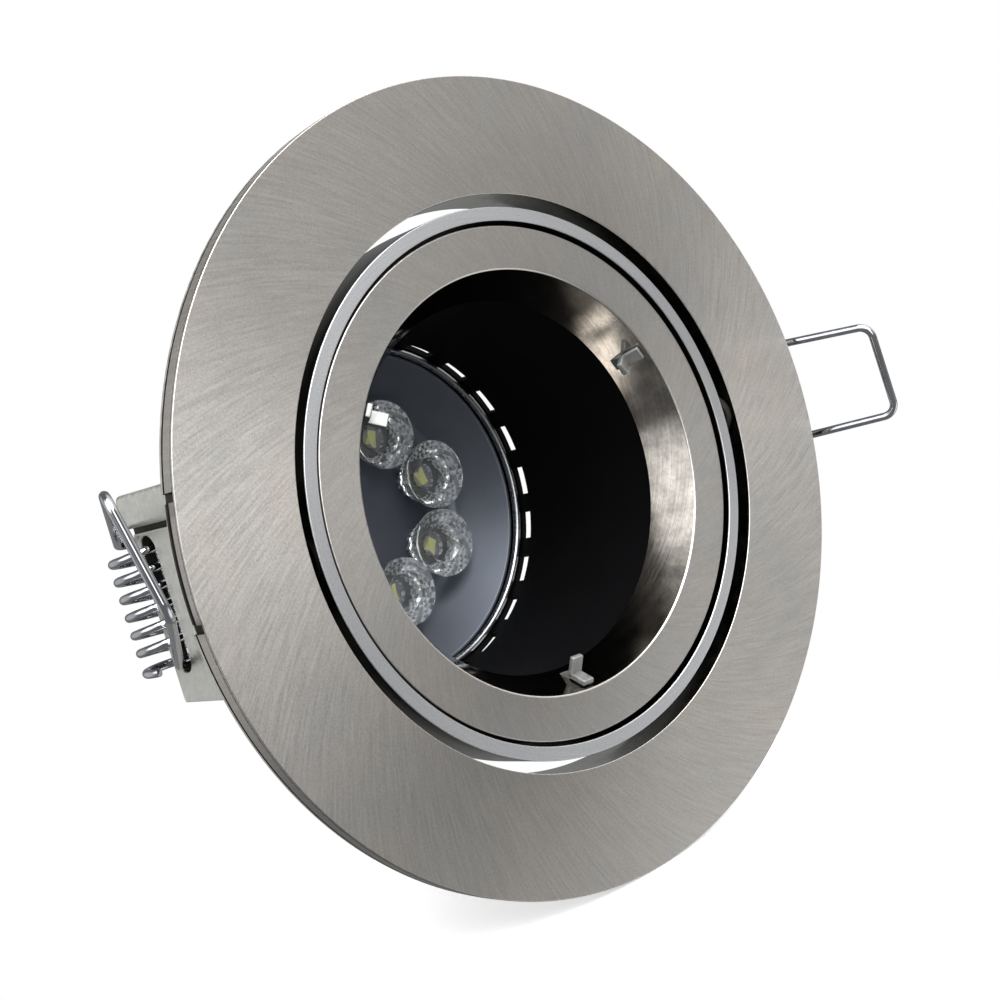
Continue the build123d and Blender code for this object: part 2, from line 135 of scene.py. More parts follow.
def linear(hex_colour: str) -> tuple[float, float, float, float]:
    """Turn an sRGB hex colour to linear.

    Args:
        hex_colour: Six hex digits.

    Returns:
        Linear red, green, blue and an alpha of one.
    """
    parts = [int(hex_colour[i:i + 2], 16) / 255 for i in (0, 2, 4)]
    channels = [c / 12.92 if c <= 0.04045 else ((c + 0.055) / 1.055) ** 2.4 for c in parts]
    return channels[0], channels[1], channels[2], 1.0


def add_node(
    tree: Tree,
    kind: str,
    values: dict[str | int, object] | None = None,
    links: dict[str | int, Socket] | None = None,
    **settings: object,
) -> bpy.types.Node:
    """Add a node with its settings, socket values and links.

    Args:
        tree: Node tree that takes the node.
        kind: Blender's identifier of the node.
        values: Constants for input sockets.
        links: Sources for input sockets.
        **settings: Attributes of the node itself.

    Returns:
        The new node.
    """
    node = tree.nodes.new(kind)
    for name, value in settings.items():
        setattr(node, name, value)
    for socket, value in (values or {}).items():
        node.inputs[socket].default_value = value
    for socket, source in (links or {}).items():
        tree.links.new(source, node.inputs[socket])
    return node


def per_metre(size_mm: float) -> float:
    """Texture scale that gives a pattern of the size, for Object coordinates in metres."""
    return 1.0 / (size_mm * MM)


def noise(tree: Tree, place: Socket, scale: float, detail: float = 2.0, roughness: float = 0.5) -> Socket:
    """Noise pattern at a place, of a scale, a number of octaves and a share of the finer ones."""
    values = {"Scale": scale, "Detail": detail, "Roughness": roughness}
    return add_node(tree, "ShaderNodeTexNoise", values, {"Vector": place}).outputs["Fac"]


def blend(tree: Tree, share: Socket, first: str, second: str) -> Socket:
    """Colour between two hex colours, by the share of the second."""
    ends = {6: linear(first), 7: linear(second)}
    return add_node(tree, "ShaderNodeMix", ends, {0: share}, data_type="RGBA").outputs[2]


def spread(
    tree: Tree,
    value: Socket,
    low: float,
    high: float,
    source: tuple[float, float] = (0.0, 1.0),
    shape: str = "LINEAR",
) -> Socket:
    """Carry a value from its own range to another.

    Args:
        tree: Node tree that takes the node.
        value: The value.
        low: Result at the lower end.
        high: Result at the upper end.
        source: Range of the value.
        shape: Blender's name of the way between the ends.

    Returns:
        The result, which stays between its ends.
    """
    ends = {"From Min": source[0], "From Max": source[1], "To Min": low, "To Max": high}
    return add_node(tree, "ShaderNodeMapRange", ends, {"Value": value}, interpolation_type=shape).outputs[0]


def reckon(tree: Tree, operation: str, *inputs: Socket | float) -> Socket:
    """Reckon with sockets and numbers.

    Args:
        tree: Node tree that takes the node.
        operation: Blender's name of the operation.
        *inputs: Sockets or numbers, in the order of the node's inputs.

    Returns:
        The result.
    """
    values = {index: item for index, item in enumerate(inputs) if isinstance(item, float)}
    links = {index: item for index, item in enumerate(inputs) if index not in values}
    return add_node(tree, "ShaderNodeMath", values, links, operation=operation).outputs[0]


def bumped(tree: Tree, height: Socket, strength: float, depth_mm: float) -> Socket:
    """Normal of a surface that a height pattern of the depth raises."""
    values = {"Strength": strength, "Distance": depth_mm * MM}
    return add_node(tree, "ShaderNodeBump", values, {"Height": height}).outputs[0]


@dataclass(frozen=True)
class Finish:
    """A finish that makes its own node material."""

    name: str

    def material(self) -> bpy.types.Material:
        """Give the finish's material, made on first use.

        Returns:
            The material.
        """
        known = bpy.data.materials.get(self.name)
        if known:
            return known
        made = bpy.data.materials.new(self.name)
        made.use_nodes = True
        tree = made.node_tree
        tree.nodes.clear()
        place = add_node(tree, "ShaderNodeTexCoord").outputs["Object"]
        constants, links = self.shade(tree, place)
        surface = add_node(tree, "ShaderNodeBsdfPrincipled", constants, links)
        add_node(tree, "ShaderNodeOutputMaterial", links={"Surface": surface.outputs[0]})
        return made

    def shade(self, tree: Tree, place: Socket) -> Shading:
        """Shade the surface; each finish has its own way.

        Args:
            tree: The material's node tree.
            place: Object coordinates.

        Returns:
            Constants and links for the Principled shader.
        """
        raise NotImplementedError


@dataclass(frozen=True)
class BrushedNickel(Finish):
    """Satin nickel plate brushed in leaning radial strokes: soft fans of light and fine streaks."""

    warm: str = "c3bbb1"
    cool: str = "b2b3b3"
    stroke_width: float = 0.35
    stroke_length: float = 4.0
    stroke_radius: float = 46.0
    stroke_lean: float = 38.0
    stroke_detail: float = 3.0
    fan_turn: float = 50.0
    cloud_size: float = 14.0
    rough_low: float = 0.30
    rough_high: float = 0.42
    stroke_height: float = 0.012
    stroke_strength: float = 0.35
    stretch: float = 0.75
    grain_size: float = 0.25
    grain_share: float = 0.5
    grain_contrast: float = 0.13

    def shade(self, tree: Tree, place: Socket) -> Shading:
        """Shade strokes on spiral lines, warm and cool clouds, and stretched highlights.

        Args:
            tree: The material's node tree.
            place: Object coordinates.

        Returns:
            Constants and links for the Principled shader.
        """
        axes = add_node(tree, "ShaderNodeSeparateXYZ", links={0: place}).outputs
        flat = add_node(tree, "ShaderNodeCombineXYZ", links={"X": axes["X"], "Z": axes["Z"]}).outputs[0]
        radius = add_node(tree, "ShaderNodeVectorMath", links={0: flat}, operation="LENGTH").outputs["Value"]
        log_radius = reckon(tree, "LOGARITHM", radius, math.e)
        azimuth = reckon(tree, "ARCTAN2", axes["Z"], axes["X"])
        lean = -math.tan(math.radians(self.stroke_lean))
        phase = reckon(tree, "MULTIPLY_ADD", log_radius, lean, azimuth)
        turns = self.stroke_radius / self.stroke_width
        across = [reckon(tree, "MULTIPLY", reckon(tree, wave, phase), turns) for wave in ("COSINE", "SINE")]
        along = reckon(tree, "MULTIPLY", log_radius, self.stroke_radius / self.stroke_length)
        lines = add_node(tree, "ShaderNodeCombineXYZ", links={"X": across[0], "Y": across[1], "Z": along})
        strokes = noise(tree, lines.outputs[0], 1.0, self.stroke_detail)
        fine = noise(tree, place, per_metre(self.grain_size))
        parts = {2: strokes, 3: fine}
        texture = add_node(tree, "ShaderNodeMix", {0: self.grain_share}, parts, data_type="FLOAT").outputs[0]
        tone = blend(tree, noise(tree, place, per_metre(self.cloud_size)), self.cool, self.warm)
        grain = spread(tree, texture, 1.0 - self.grain_contrast, 1.0 + self.grain_contrast, NOISE_MIDDLE)
        shaded = add_node(tree, "ShaderNodeVectorMath", links={0: tone, 1: grain}, operation="MULTIPLY")
        around = add_node(tree, "ShaderNodeTangent", direction_type="RADIAL", axis="Y")
        constants = {
            "Metallic": 1.0,
            "Anisotropic": self.stretch,
            "Anisotropic Rotation": self.fan_turn / 360.0,
        }
        links = {
            "Base Color": shaded.outputs[0],
            "Roughness": spread(tree, texture, self.rough_low, self.rough_high),
            "Normal": bumped(tree, texture, self.stroke_strength, self.stroke_height),
            "Tangent": around.outputs[0],
        }
        return constants, links


@dataclass(frozen=True)
class MottledMetal(Finish):
    """Plated metal with cloudy polish: bright and dark patches, and a fine bump."""

    light: str = "d2cfc9"
    dark: str = "9b958c"
    patch: tuple[float, float, float] = (3.0, 3.0, 3.0)
    rough_low: float = 0.06
    rough_high: float = 0.22
    wave_height: float = 0.05
    wave_strength: float = 0.3
    patch_detail: float = 5.0
    patch_roughness: float = 0.62

    def shade(self, tree: Tree, place: Socket) -> Shading:
        """Shade patches of polish and a shallow wave in the plate.

        Args:
            tree: The material's node tree.
            place: Object coordinates.

        Returns:
            Constants and links for the Principled shader.
        """
        scale = {"Scale": [per_metre(size) for size in self.patch]}
        sized = add_node(tree, "ShaderNodeMapping", scale, {"Vector": place}).outputs[0]
        patches = noise(tree, sized, 1.0, self.patch_detail, self.patch_roughness)
        links = {
            "Base Color": blend(tree, patches, self.dark, self.light),
            "Roughness": spread(tree, patches, self.rough_low, self.rough_high, NOISE_MIDDLE),
            "Normal": bumped(tree, patches, self.wave_strength, self.wave_height),
        }
        return {"Metallic": 1.0}, links


@dataclass(frozen=True)
class Moulding(Finish):
    """Moulded or coated surface: an even colour with faint clouds and a fine grain that breaks the gloss."""

    light: str = "808080"
    dark: str = "707070"
    cloud_size: float = 9.0
    grain_size: float = 0.35
    rough_low: float = 0.35
    rough_high: float = 0.5
    grain_height: float = 0.01
    metallic: float = 0.0
    gloss: float = 0.5
    glow: float = 0.0
    cloud_detail: float = 3.0
    grain_strength: float = 0.4

    def shade(self, tree: Tree, place: Socket) -> Shading:
        """Shade the colour clouds, the grain and the gloss.

        Args:
            tree: The material's node tree.
            place: Object coordinates.

        Returns:
            Constants and links for the Principled shader.
        """
        clouds = noise(tree, place, per_metre(self.cloud_size), self.cloud_detail)
        grain = noise(tree, place, per_metre(self.grain_size))
        constants = {
            "Metallic": self.metallic,
            "Specular IOR Level": self.gloss,
            "Emission Color": linear("ffffff"),
            "Emission Strength": self.glow,
        }
        links = {
            "Base Color": blend(tree, clouds, self.dark, self.light),
            "Roughness": spread(tree, grain, self.rough_low, self.rough_high),
            "Normal": bumped(tree, grain, self.grain_strength, self.grain_height),
        }
        return constants, links


@dataclass(frozen=True)
class ClearOptic(Finish):
    """Moulded clear acrylic: bends the light, with a slight flow ripple and a faint milky haze."""

    tint: str = "f4f8fb"
    clear: float = 0.93
    ripple_size: float = 0.7
    ripple_height: float = 0.02
    ripple_strength: float = 0.5
    index: float = 1.49
    gloss_rough: float = 0.02

    def shade(self, tree: Tree, place: Socket) -> Shading:
        """Shade clear transmission and the flow ripple.

        Args:
            tree: The material's node tree.
            place: Object coordinates.

        Returns:
            Constants and links for the Principled shader.
        """
        ripple = noise(tree, place, per_metre(self.ripple_size))
        constants = {
            "Base Color": linear(self.tint),
            "Roughness": self.gloss_rough,
            "IOR": self.index,
            "Transmission Weight": self.clear,
        }
        return constants, {"Normal": bumped(tree, ripple, self.ripple_strength, self.ripple_height)}


# Brushed satin nickel plate on the visible faces
SATIN_NICKEL = BrushedNickel("satin_nickel_plate")
# The same plate on the bezel, brushed more evenly, with less of a fan
BEZEL_NICKEL = BrushedNickel(
    "satin_nickel_bezel",
    warm="c4bdb4",
    cool="b4b5b5",
    stroke_radius=32.0,
    stretch=0.55,
    grain_contrast=0.09,
)
# Nickel plate left from the lathe on the narrow tilting ring: plain grey and evenly bright
TURNED_NICKEL = BrushedNickel(
    "turned_nickel_ring",
    warm="bcbcbc",
    cool="b1b3b7",
    stroke_radius=36.0,
    stroke_lean=85.0,
    fan_turn=90.0,
    rough_low=0.42,
    rough_high=0.54,
    stretch=0.2,
)
# Polished nickel plate in the cone: mirror-like with fine streaks that run round it and warm cloudy patches
POLISHED_NICKEL = BrushedNickel(
    "polished_nickel_cone",
    warm="b4afa8",
    cool="605d59",
    stroke_width=0.3,
    stroke_length=3.0,
    stroke_radius=27.0,
    stroke_lean=85.0,
    fan_turn=90.0,
    cloud_size=2.4,
    rough_low=0.05,
    rough_high=0.14,
    stroke_height=0.01,
    stretch=0.3,
    grain_size=0.5,
    grain_share=0.3,
    grain_contrast=0.3,
)
# Unbrushed cast metal behind the face: pale and grainy, with little gloss
CAST_METAL = MottledMetal("plated_casting", "dcdcd8", "b4b3ad", (0.9, 0.9, 0.9), 0.40, 0.56, 0.05, 0.5)
# Painted shade: casting painted dark and a little olive on the rim's sunk faces, the collar and the
# brackets' slot walls, where shade falls
PAINTED_SHADE_CASTING = MottledMetal("painted_shade_casting", "4a4942", "2e2d28", (0.9, 0.9, 0.9), 0.50, 0.65, 0.04, 0.4)
# Smooth nickel plate on the walls inside the gaps: a dim mirror that goes black where it only meets itself
GAP_PLATE = MottledMetal("smooth_plated_wall", "dcdcd8", "c4c3be", (2.0, 2.0, 2.0), 0.08, 0.18, 0.01, 0.2)
# The same plate painted dark on the tilting ring's outer wall and bore: painted shade in the gaps beside
# them
PAINTED_SHADE_PLATE = MottledMetal("painted_shade_ring_wall", "55544f", "3c3b37", (2.0, 2.0, 2.0), 0.10, 0.20, 0.01, 0.2)
# Bright drawn wire: sharp long highlights and slight drawing marks
DRAWN_WIRE = MottledMetal("drawn_spring_wire", "d0d2d6", "9a9da3", (0.6, 2.5, 2.5), 0.06, 0.15, 0.012, 0.3)
# Darker steel wire of the snap ring: soft highlights
SNAP_WIRE = MottledMetal("dark_snap_wire", "a9abae", "8f9195", (2.5, 2.5, 2.5), 0.24, 0.34, 0.004, 0.2)
# Zinc plated steel strip and screws: mid grey with a soft bloom
PLATED_STEEL = MottledMetal("zinc_plated_steel", "a4a5a4", "7e7f7d", (1.2, 1.2, 1.2), 0.50, 0.64, 0.02, 0.4)
# Matt black enamel that swallows the light, with a weak sheen at a low angle
BLACK_ENAMEL = Moulding("matt_black_enamel", "040405", "020203", 8.0, 0.4, 0.50, 0.62, 0.006, gloss=0.1)
# Satin grey metallised moulding of the lamp's dish, bluish and soft
LAMP_GREY = Moulding("satin_lamp_grey", "6a6f78", "555a63", 12.0, 0.5, 0.42, 0.54, 0.004, 0.75)
# Clear acrylic lenses
CLEAR_ACRYLIC = ClearOptic("clear_acrylic")
# The same acrylic made milky and white on some facets: painted glints
PAINTED_GLINT_ACRYLIC = ClearOptic("painted_glint_acrylic", "f8faff", clear=0.25, gloss_rough=0.3)
# Phosphor layer over the chips: flat and pale yellow
PHOSPHOR = Moulding("yellow_phosphor", "d9d36a", "c9c25a", 0.8, 0.2, 0.45, 0.6, 0.01)
# White solder mask of the circuit board
SOLDER_MASK = Moulding("white_solder_mask", "eeeeea", "e2e2dc", 5.0, 0.4, 0.35, 0.45, 0.004)
# Bare die-cast aluminium fins: dull silver with a blasted grain
CAST_ALUMINIUM = MottledMetal(
    "die_cast_aluminium", "cfd1d4", "b5b8bc", (0.8, 0.8, 0.8), 0.34, 0.48, 0.03, 0.4
)
# White heat-proof moulding of the lamp's base
WHITE_MOULDING = Moulding("white_heatproof_moulding", "ece9e2", "ded9cf", 7.0, 0.5, 0.40, 0.52, 0.01)
# Plain brass pins
BRASS = MottledMetal("plain_brass", "d9c07a", "b89a52", (1.0, 1.0, 1.0), 0.20, 0.34, 0.01, 0.3)
# Black pressed fibre of the friction washers
FIBRE = Moulding("black_pressed_fibre", "26241f", "171613", 2.0, 0.3, 0.65, 0.8, 0.02)
# Pale sheet of a studio light table, lit faintly from below, so that shadows stay light
STUDIO_SHEET = Moulding("pale_studio_sheet", "fbfbfb", "f8f8f8", 300.0, 1.5, 0.85, 0.95, 0.01, glow=0.45)


def round_off(mesh: Mesh, parts: list, radius: float, segments: int, affect: str = "EDGES") -> None:
    """Round edges or corners of a mesh.

    Args:
        mesh: The mesh.
        parts: Its edges or corners to round.
        radius: Size of the rounding.
        segments: Segments of each rounding.
        affect: Blender's name for what is rounded.
    """
    bmesh.ops.bevel(
        mesh,
        geom=parts,
        offset=radius,
        offset_type="OFFSET",
        segments=segments,
        profile=0.5,
        affect=affect,
        material=-1,
    )


def turned(profile: Profile, steps: int = 192, closed: bool = True) -> Mesh:
    """Spin a profile with rounded corners about the lamp axis.

    Args:
        profile: Radius, y and corner radius of each corner.
        steps: Steps of a full turn.
        closed: Whether the last corner joins the first; not for a profile that ends on the axis.

    Returns:
        The turned mesh.
    """
    mesh = bmesh.new()
    corners = [mesh.verts.new((radius, y, 0)) for radius, y, _ in profile]
    for start, end in zip(corners, corners[1:]):
        mesh.edges.new((start, end))
    if closed:
        mesh.edges.new((corners[-1], corners[0]))
    for corner, (_, _, rounding) in zip(corners, profile):
        if rounding:
            round_off(mesh, [corner], rounding, CORNER_SEGMENTS, "VERTICES")
    bmesh.ops.spin(
        mesh,
        geom=mesh.verts[:] + mesh.edges[:],
        cent=(0, 0, 0),
        axis=LAMP_AXIS,
        angle=FULL_TURN,
        steps=steps,
        use_merge=True,
    )
    return mesh


def azimuth_turn(azimuth: float) -> Matrix:
    """Turn about the lamp axis that takes +X to the azimuth in degrees."""
    return Matrix.Rotation(-math.radians(azimuth), 4, "Y")


def radius_of(point: Vector) -> float:
    """Distance of a point from the lamp axis."""
    return math.hypot(point.x, point.z)


def azimuth_of(point: Vector) -> float:
    """Azimuth of a point in degrees."""
    return math.degrees(math.atan2(point.z, point.x))


def angle_apart(first: float, second: float) -> float:
    """Least angle between two azimuths in degrees."""
    return abs((first - second + 180.0) % 360.0 - 180.0)


def set_radius(point: Vector, radius: float) -> None:
    """Move a point straight to a distance from the lamp axis.

    Args:
        point: The point, which is moved.
        radius: Its new distance.
    """
    share = radius / radius_of(point)
    point.x *= share
    point.z *= share


def placed(mesh: Mesh, place: Matrix) -> Mesh:
    """Move a mesh to its place and hand it back."""
    bmesh.ops.transform(mesh, matrix=place, verts=mesh.verts[:])
    return mesh


def corners_in(parts: list) -> list[bmesh.types.BMVert]:
    """Corners among the parts that an operator has grown."""
    return [part for part in parts if isinstance(part, bmesh.types.BMVert)]


def edges_in(parts: list) -> Edges:
    """Edges among the parts that an operator has grown."""
    return [part for part in parts if isinstance(part, bmesh.types.BMEdge)]


def merged(meshes: list[Mesh]) -> Mesh:
    """Put several meshes into the first one and free the others.

    Args:
        meshes: The meshes.

    Returns:
        The first mesh with all of them in it.
    """
    whole = meshes[0]
    for other in meshes[1:]:
        carrier = bpy.data.meshes.new("carrier")
        other.to_mesh(carrier)
        whole.from_mesh(carrier)
        bpy.data.meshes.remove(carrier)
        other.free()
    return whole


def slab(outline: list[tuple[float, float]], low: float, high: float, rounding: float) -> Mesh:
    """Extrude an X-Y outline along Z and round its edges.

    Args:
        outline: Corners in the X-Y plane.
        low: Lower z.
        high: Upper z.
        rounding: Radius of the edges.

    Returns:
        The slab's mesh.
    """
    mesh = bmesh.new()
    face = mesh.faces.new([mesh.verts.new((x, y, low)) for x, y in outline])
    grown = bmesh.ops.extrude_face_region(mesh, geom=[face])
    bmesh.ops.translate(mesh, verts=corners_in(grown["geom"]), vec=(0, 0, high - low))
    bmesh.ops.recalc_face_normals(mesh, faces=mesh.faces[:])
    if rounding:
        round_off(mesh, mesh.edges[:], rounding, SLAB_SEGMENTS)
    return mesh


def make_piece(
    name: str,
    mesh: Mesh,
    body: Body,
    finishes: list[Finish],
    replaces: tuple[str, ...] = (),
    paint: Callable[[Vector], int] | None = None,
    facets: Callable[[Vector], bool] | None = None,
) -> None:
    """Finish a mesh as a piece of the object.

    Args:
        name: Name of the piece.
        mesh: Its mesh in millimetres, which is freed.
        body: Body that it rides on.
        finishes: Its finishes.
        replaces: CAD nodes that it stands for.
        paint: Gives the number of a face's finish from the face's middle.
        facets: Tells from a face's middle whether the face keeps its own flat shading.
    """
    bmesh.ops.remove_doubles(mesh, verts=mesh.verts[:], dist=WELD)
    bmesh.ops.recalc_face_normals(mesh, faces=mesh.faces[:])
    for face in mesh.faces:
        middle = face.calc_center_median()
        face.smooth = not (facets and facets(middle))
        if paint:
            face.material_index = paint(middle)
    for edge in mesh.edges:
        edge.smooth = len(edge.link_faces) == 2 and edge.calc_face_angle(0.0) < SHARP_EDGE
    bmesh.ops.scale(mesh, vec=(MM, MM, MM), verts=mesh.verts[:])
    data = bpy.data.meshes.new(name)
    mesh.to_mesh(data)
    mesh.free()
    for finish in finishes:
        data.materials.append(finish.material())
    piece = bpy.data.objects.new(name, data)
    bpy.context.scene.collection.objects.link(piece)
    if not facets:
        weighted = piece.modifiers.new("even_flats", "WEIGHTED_NORMAL")
        weighted.keep_sharp = True
        weighted.weight = FLAT_WEIGHT
    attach(piece, body.value)
    if replaces:
        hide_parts(*replaces)
    LOG.info("%s: %d faces on %s", name, len(data.polygons), body.value)


@dataclass
class TrimFlange:
    """Trim ring with its collar, rim reliefs, clip brackets, pivot screws and friction washers."""

    radius: float
    steps: int = 288
    front: float = -3.2
    edge_round: float = 0.12
    lip_rear: float = -2.9
    lip_groove: float = 0.15
    lip_groove_rear: float = -2.6
    rim_groove: float = 0.5
    rim_groove_front: float = -1.0
    rim_step: float = -0.5
    rim_rear_inset: float = 0.05
    rim_rear_round: float = 0.1
    sunk_least: float = 0.08
    sunk_rear: float = -0.1
    land_inner: float = 51.5
    recess: float = -1.0
    opening: float = 38.9
    opening_round: float = 0.12
    collar: float = 41.0
    collar_rear: float = 4.8
    collar_foot_round: float = 0.4
    collar_round: float = 0.3
    relief_front: float = -1.7
    relief_depth: float = 0.35
    relief_low: float = -2.4
    relief_high: float = 11.75
    relief_wall: float = 0.05
    notch_depth: float = 0.5
    notch_width: float = 1.1
    root: float = -1.4
    root_inner: float = 40.5
    wall_inner: float = 44.0
    wall_outer: float = 46.0
    wall_rear: float = 25.3
    wall_low: float = 8.8
    wall_round: float = 0.22
    groove_depth: float = 0.6
    block_outer: float = 46.9
    block_rear: float = 25.7
    block_low: float = 9.6
    block_high: float = 14.1
    block_round: float = 0.7
    web_front: float = 2.0
    web_low: float = 10.6
    web_sunk: float = 0.5
    slot_y: float = 22.2
    slot_z: float = 0.9
    slot_half_width: float = 1.9
    slot_half_length: float = 9.2
    slot_sides: int = 48
    pivot_y: float = 1.8
    pivot_radius: float = 1.5
    pivot_steps: int = 32
    boss_radius: float = 3.6
    boss_inner: float = 39.9
    boss_outer: float = 45.6
    boss_steps: int = 48
    screw_nose: float = 35.55
    screw_nose_round: float = 0.3
    screw_head_round: float = 0.2
    driver_slot: float = 0.6
    driver_depth: float = 0.8
    washer_radius: float = 3.0
    washer_inner: float = 37.55
    washer_outer: float = 38.65
    washer_play: float = 0.02
    washer_round: float = 0.15

    def ring(self) -> Mesh:
        """Turn the ring and press in the two reliefs that let the bails fold past the rim.

        Returns:
            The ring's mesh.
        """
        lip_bed = self.radius - self.lip_groove
        rim_bed = self.radius - self.rim_groove
        rim_rear = self.radius - self.rim_rear_inset
        profile = [
            (self.opening, self.front, self.opening_round),
            (self.radius, self.front, self.edge_round),
            (self.radius, self.lip_rear, 0),
            (lip_bed, self.lip_rear, 0),
            (lip_bed, self.lip_groove_rear, 0),
            (self.radius, self.lip_groove_rear, 0),
            (self.radius, self.relief_front, 0),
            (self.radius, self.relief_front + self.relief_wall, 0),
            (self.radius, self.rim_groove_front, 0),
            (rim_bed, self.rim_groove_front, 0),
            (rim_bed, self.rim_step, 0),
            (rim_rear, self.rim_step, 0),
            (rim_rear, 0, self.rim_rear_round),
            (self.land_inner, 0, 0),
            (self.land_inner, self.recess, 0),
            (self.collar, self.recess, self.collar_foot_round),
            (self.collar, self.collar_rear, self.collar_round),
            (self.opening, self.collar_rear, self.collar_round),
        ]
        mesh = turned(profile, self.steps)
        low_notch = self.relief_low - self.notch_width
        high_notch = self.relief_high + self.notch_width
        for cut in (low_notch, self.relief_low, self.relief_high, high_notch):
            for z in (cut, -cut):
                for gap in (-self.relief_wall / 2, self.relief_wall / 2):
                    parts = mesh.verts[:] + mesh.edges[:] + mesh.faces[:]
                    bmesh.ops.bisect_plane(mesh, geom=parts, plane_co=(0, 0, z + gap), plane_no=(0, 0, 1))
        for vert in mesh.verts:
            along = self.along_rim(vert.co)
            in_relief = self.relief_low < along < self.relief_high
            in_notch = low_notch < along < high_notch and not in_relief
            depth = 0.0
            if in_relief and vert.co.y > self.relief_front + WELD:
                depth = self.relief_depth
            if in_notch and vert.co.y > self.lip_groove_rear - WELD:
                depth = self.notch_depth
            if radius_of(vert.co) > self.radius - depth:
                set_radius(vert.co, self.radius - depth)
        return mesh

    @staticmethod
    def along_rim(point: Vector) -> float:
        """Place along a relief; the right one is the left one turned half round."""
        return point.z if point.x < 0 else -point.z

    def bracket_wall(self) -> Mesh:
        """Build a bracket's wall with the oblong slot that leaves its rear bar.

        Returns:
            The wall's mesh.
        """
        mesh = bmesh.new()
        hole = bmesh.ops.create_circle(mesh, segments=self.slot_sides, radius=self.slot_half_width)["verts"]
        shift = self.slot_half_length - self.slot_half_width
        for vert in hole:
            x, y, _ = vert.co
            vert.co = (self.wall_inner, self.slot_y + x, self.slot_z + y + math.copysign(shift, y))
        grown = bmesh.ops.extrude_edge_only(mesh, edges=mesh.edges[:])
        for vert in corners_in(grown["geom"]):
            away_y = (vert.co.y - self.slot_y) / self.slot_half_width
            away_z = (vert.co.z - self.slot_z) / self.slot_half_length
            reach = max(abs(away_y), abs(away_z))
            half_y = self.wall_rear - self.slot_y if away_y > 0 else self.slot_y - self.root
            half_z = self.block_high - self.slot_z if away_z > 0 else self.wall_low + self.slot_z
            vert.co.y = self.slot_y + away_y / reach * half_y
            vert.co.z = self.slot_z + away_z / reach * half_z
        solid = bmesh.ops.extrude_face_region(mesh, geom=mesh.faces[:])
        thickness = self.wall_outer - self.wall_inner
        bmesh.ops.translate(mesh, verts=corners_in(solid["geom"]), vec=(thickness, 0, 0))
        bmesh.ops.recalc_face_normals(mesh, faces=mesh.faces[:])
        crisp = [edge for edge in mesh.edges if edge.calc_face_angle(0.0) > SHARP_EDGE]
        round_off(mesh, crisp, self.wall_round, FINE_SEGMENTS)
        return mesh

    def bracket(self) -> Mesh:
        """Build the bracket on the +X side: slotted wall, end block, web to the collar and the pivot boss.

        Returns:
            The bracket's mesh.
        """
        web_outer = self.wall_inner + self.web_sunk
        web = [
            (self.root_inner, self.root),
            (web_outer, self.root),
            (web_outer, self.collar_rear),
            (self.root_inner, self.web_front),
        ]
        block = [
            (self.root_inner, self.root),
            (self.block_outer, self.root),
            (self.block_outer, self.block_rear),
            (self.wall_inner, self.block_rear),
            (self.wall_inner, self.collar_rear),
            (self.root_inner, self.web_front),
        ]
        groove_floor = self.wall_outer - self.groove_depth
        groove = [
            (self.wall_inner, self.root),
            (groove_floor, self.root),
            (groove_floor, self.block_rear),
            (self.wall_inner, self.block_rear),
        ]
        boss = [
            (self.pivot_radius, self.boss_inner, 0),
            (self.boss_radius, self.boss_inner, 0),
            (self.boss_radius, self.boss_outer, 0),
            (self.pivot_radius, self.boss_outer, 0),
        ]
        return merged(
            [
                self.bracket_wall(),
                slab(block, -self.block_high, -self.block_low, self.block_round),
                slab(web, self.web_low, self.block_high - self.web_sunk, self.wall_round),
                slab(groove, -self.block_low - self.wall_round, -self.wall_low + self.wall_round, 0),
                self.on_pivot(turned(boss, self.boss_steps)),
            ]
        )

    def on_pivot(self, mesh: Mesh) -> Mesh:
        """Lay a mesh that was turned about the lamp axis along the pivot on the +X side."""
        return placed(mesh, Matrix.Translation((0, self.pivot_y, 0)) @ Matrix.Rotation(-math.pi / 2, 4, "Z"))

    def screw(self) -> Mesh:
        """Turn the slotted pivot screw on the +X side.

        Returns:
            The screw's mesh.
        """
        slot_floor = self.wall_outer - self.driver_depth
        profile = [
            (0, self.screw_nose, 0),
            (self.pivot_radius, self.screw_nose, self.screw_nose_round),
            (self.pivot_radius, self.wall_outer, self.screw_head_round),
            (self.driver_slot / 2, self.wall_outer, 0),
            (self.driver_slot / 2, slot_floor, 0),
            (0, slot_floor, 0),
        ]
        return self.on_pivot(turned(profile, self.pivot_steps, closed=False))

    def washer(self) -> Mesh:
        """Turn the friction washer on the +X side.

        Returns:
            The washer's mesh.
        """
        bore = self.pivot_radius + self.washer_play
        profile = [
            (bore, self.washer_inner, 0),
            (self.washer_radius, self.washer_inner, self.washer_round),
            (self.washer_radius, self.washer_outer, self.washer_round),
            (bore, self.washer_outer, 0),
        ]
        return self.on_pivot(turned(profile, self.pivot_steps))

    def ring_finish(self, middle: Vector) -> int:
        """Choose the finish of a face of the ring.

        Args:
            middle: Middle of the face.

        Returns:
            0 for the brushed face, 1 for the cast rear, 2 for painted shade on the sunk rim and the collar,
            and 3 for the wall of the gap.
        """
        radius = radius_of(middle)
        on_rim = self.land_inner < radius - self.relief_wall and self.lip_rear - WELD < middle.y
        # Sunk faces of the rim, in its grooves, reliefs and notches, are painted dark as shade
        if on_rim and radius < self.radius - self.sunk_least and middle.y < self.sunk_rear:
            return 2
        if radius < self.opening + self.opening_round / 2 and middle.y > self.front + self.opening_round:
            return 3
        on_collar = self.opening + self.opening_round < radius < self.collar + WELD
        # The collar behind the recess is painted dark as shade
        if on_collar and middle.y > self.recess:
            return 2
        on_rear_rim = radius > self.land_inner and middle.y > self.rim_step
        return int(middle.y > -self.edge_round / 2 or on_rear_rim)

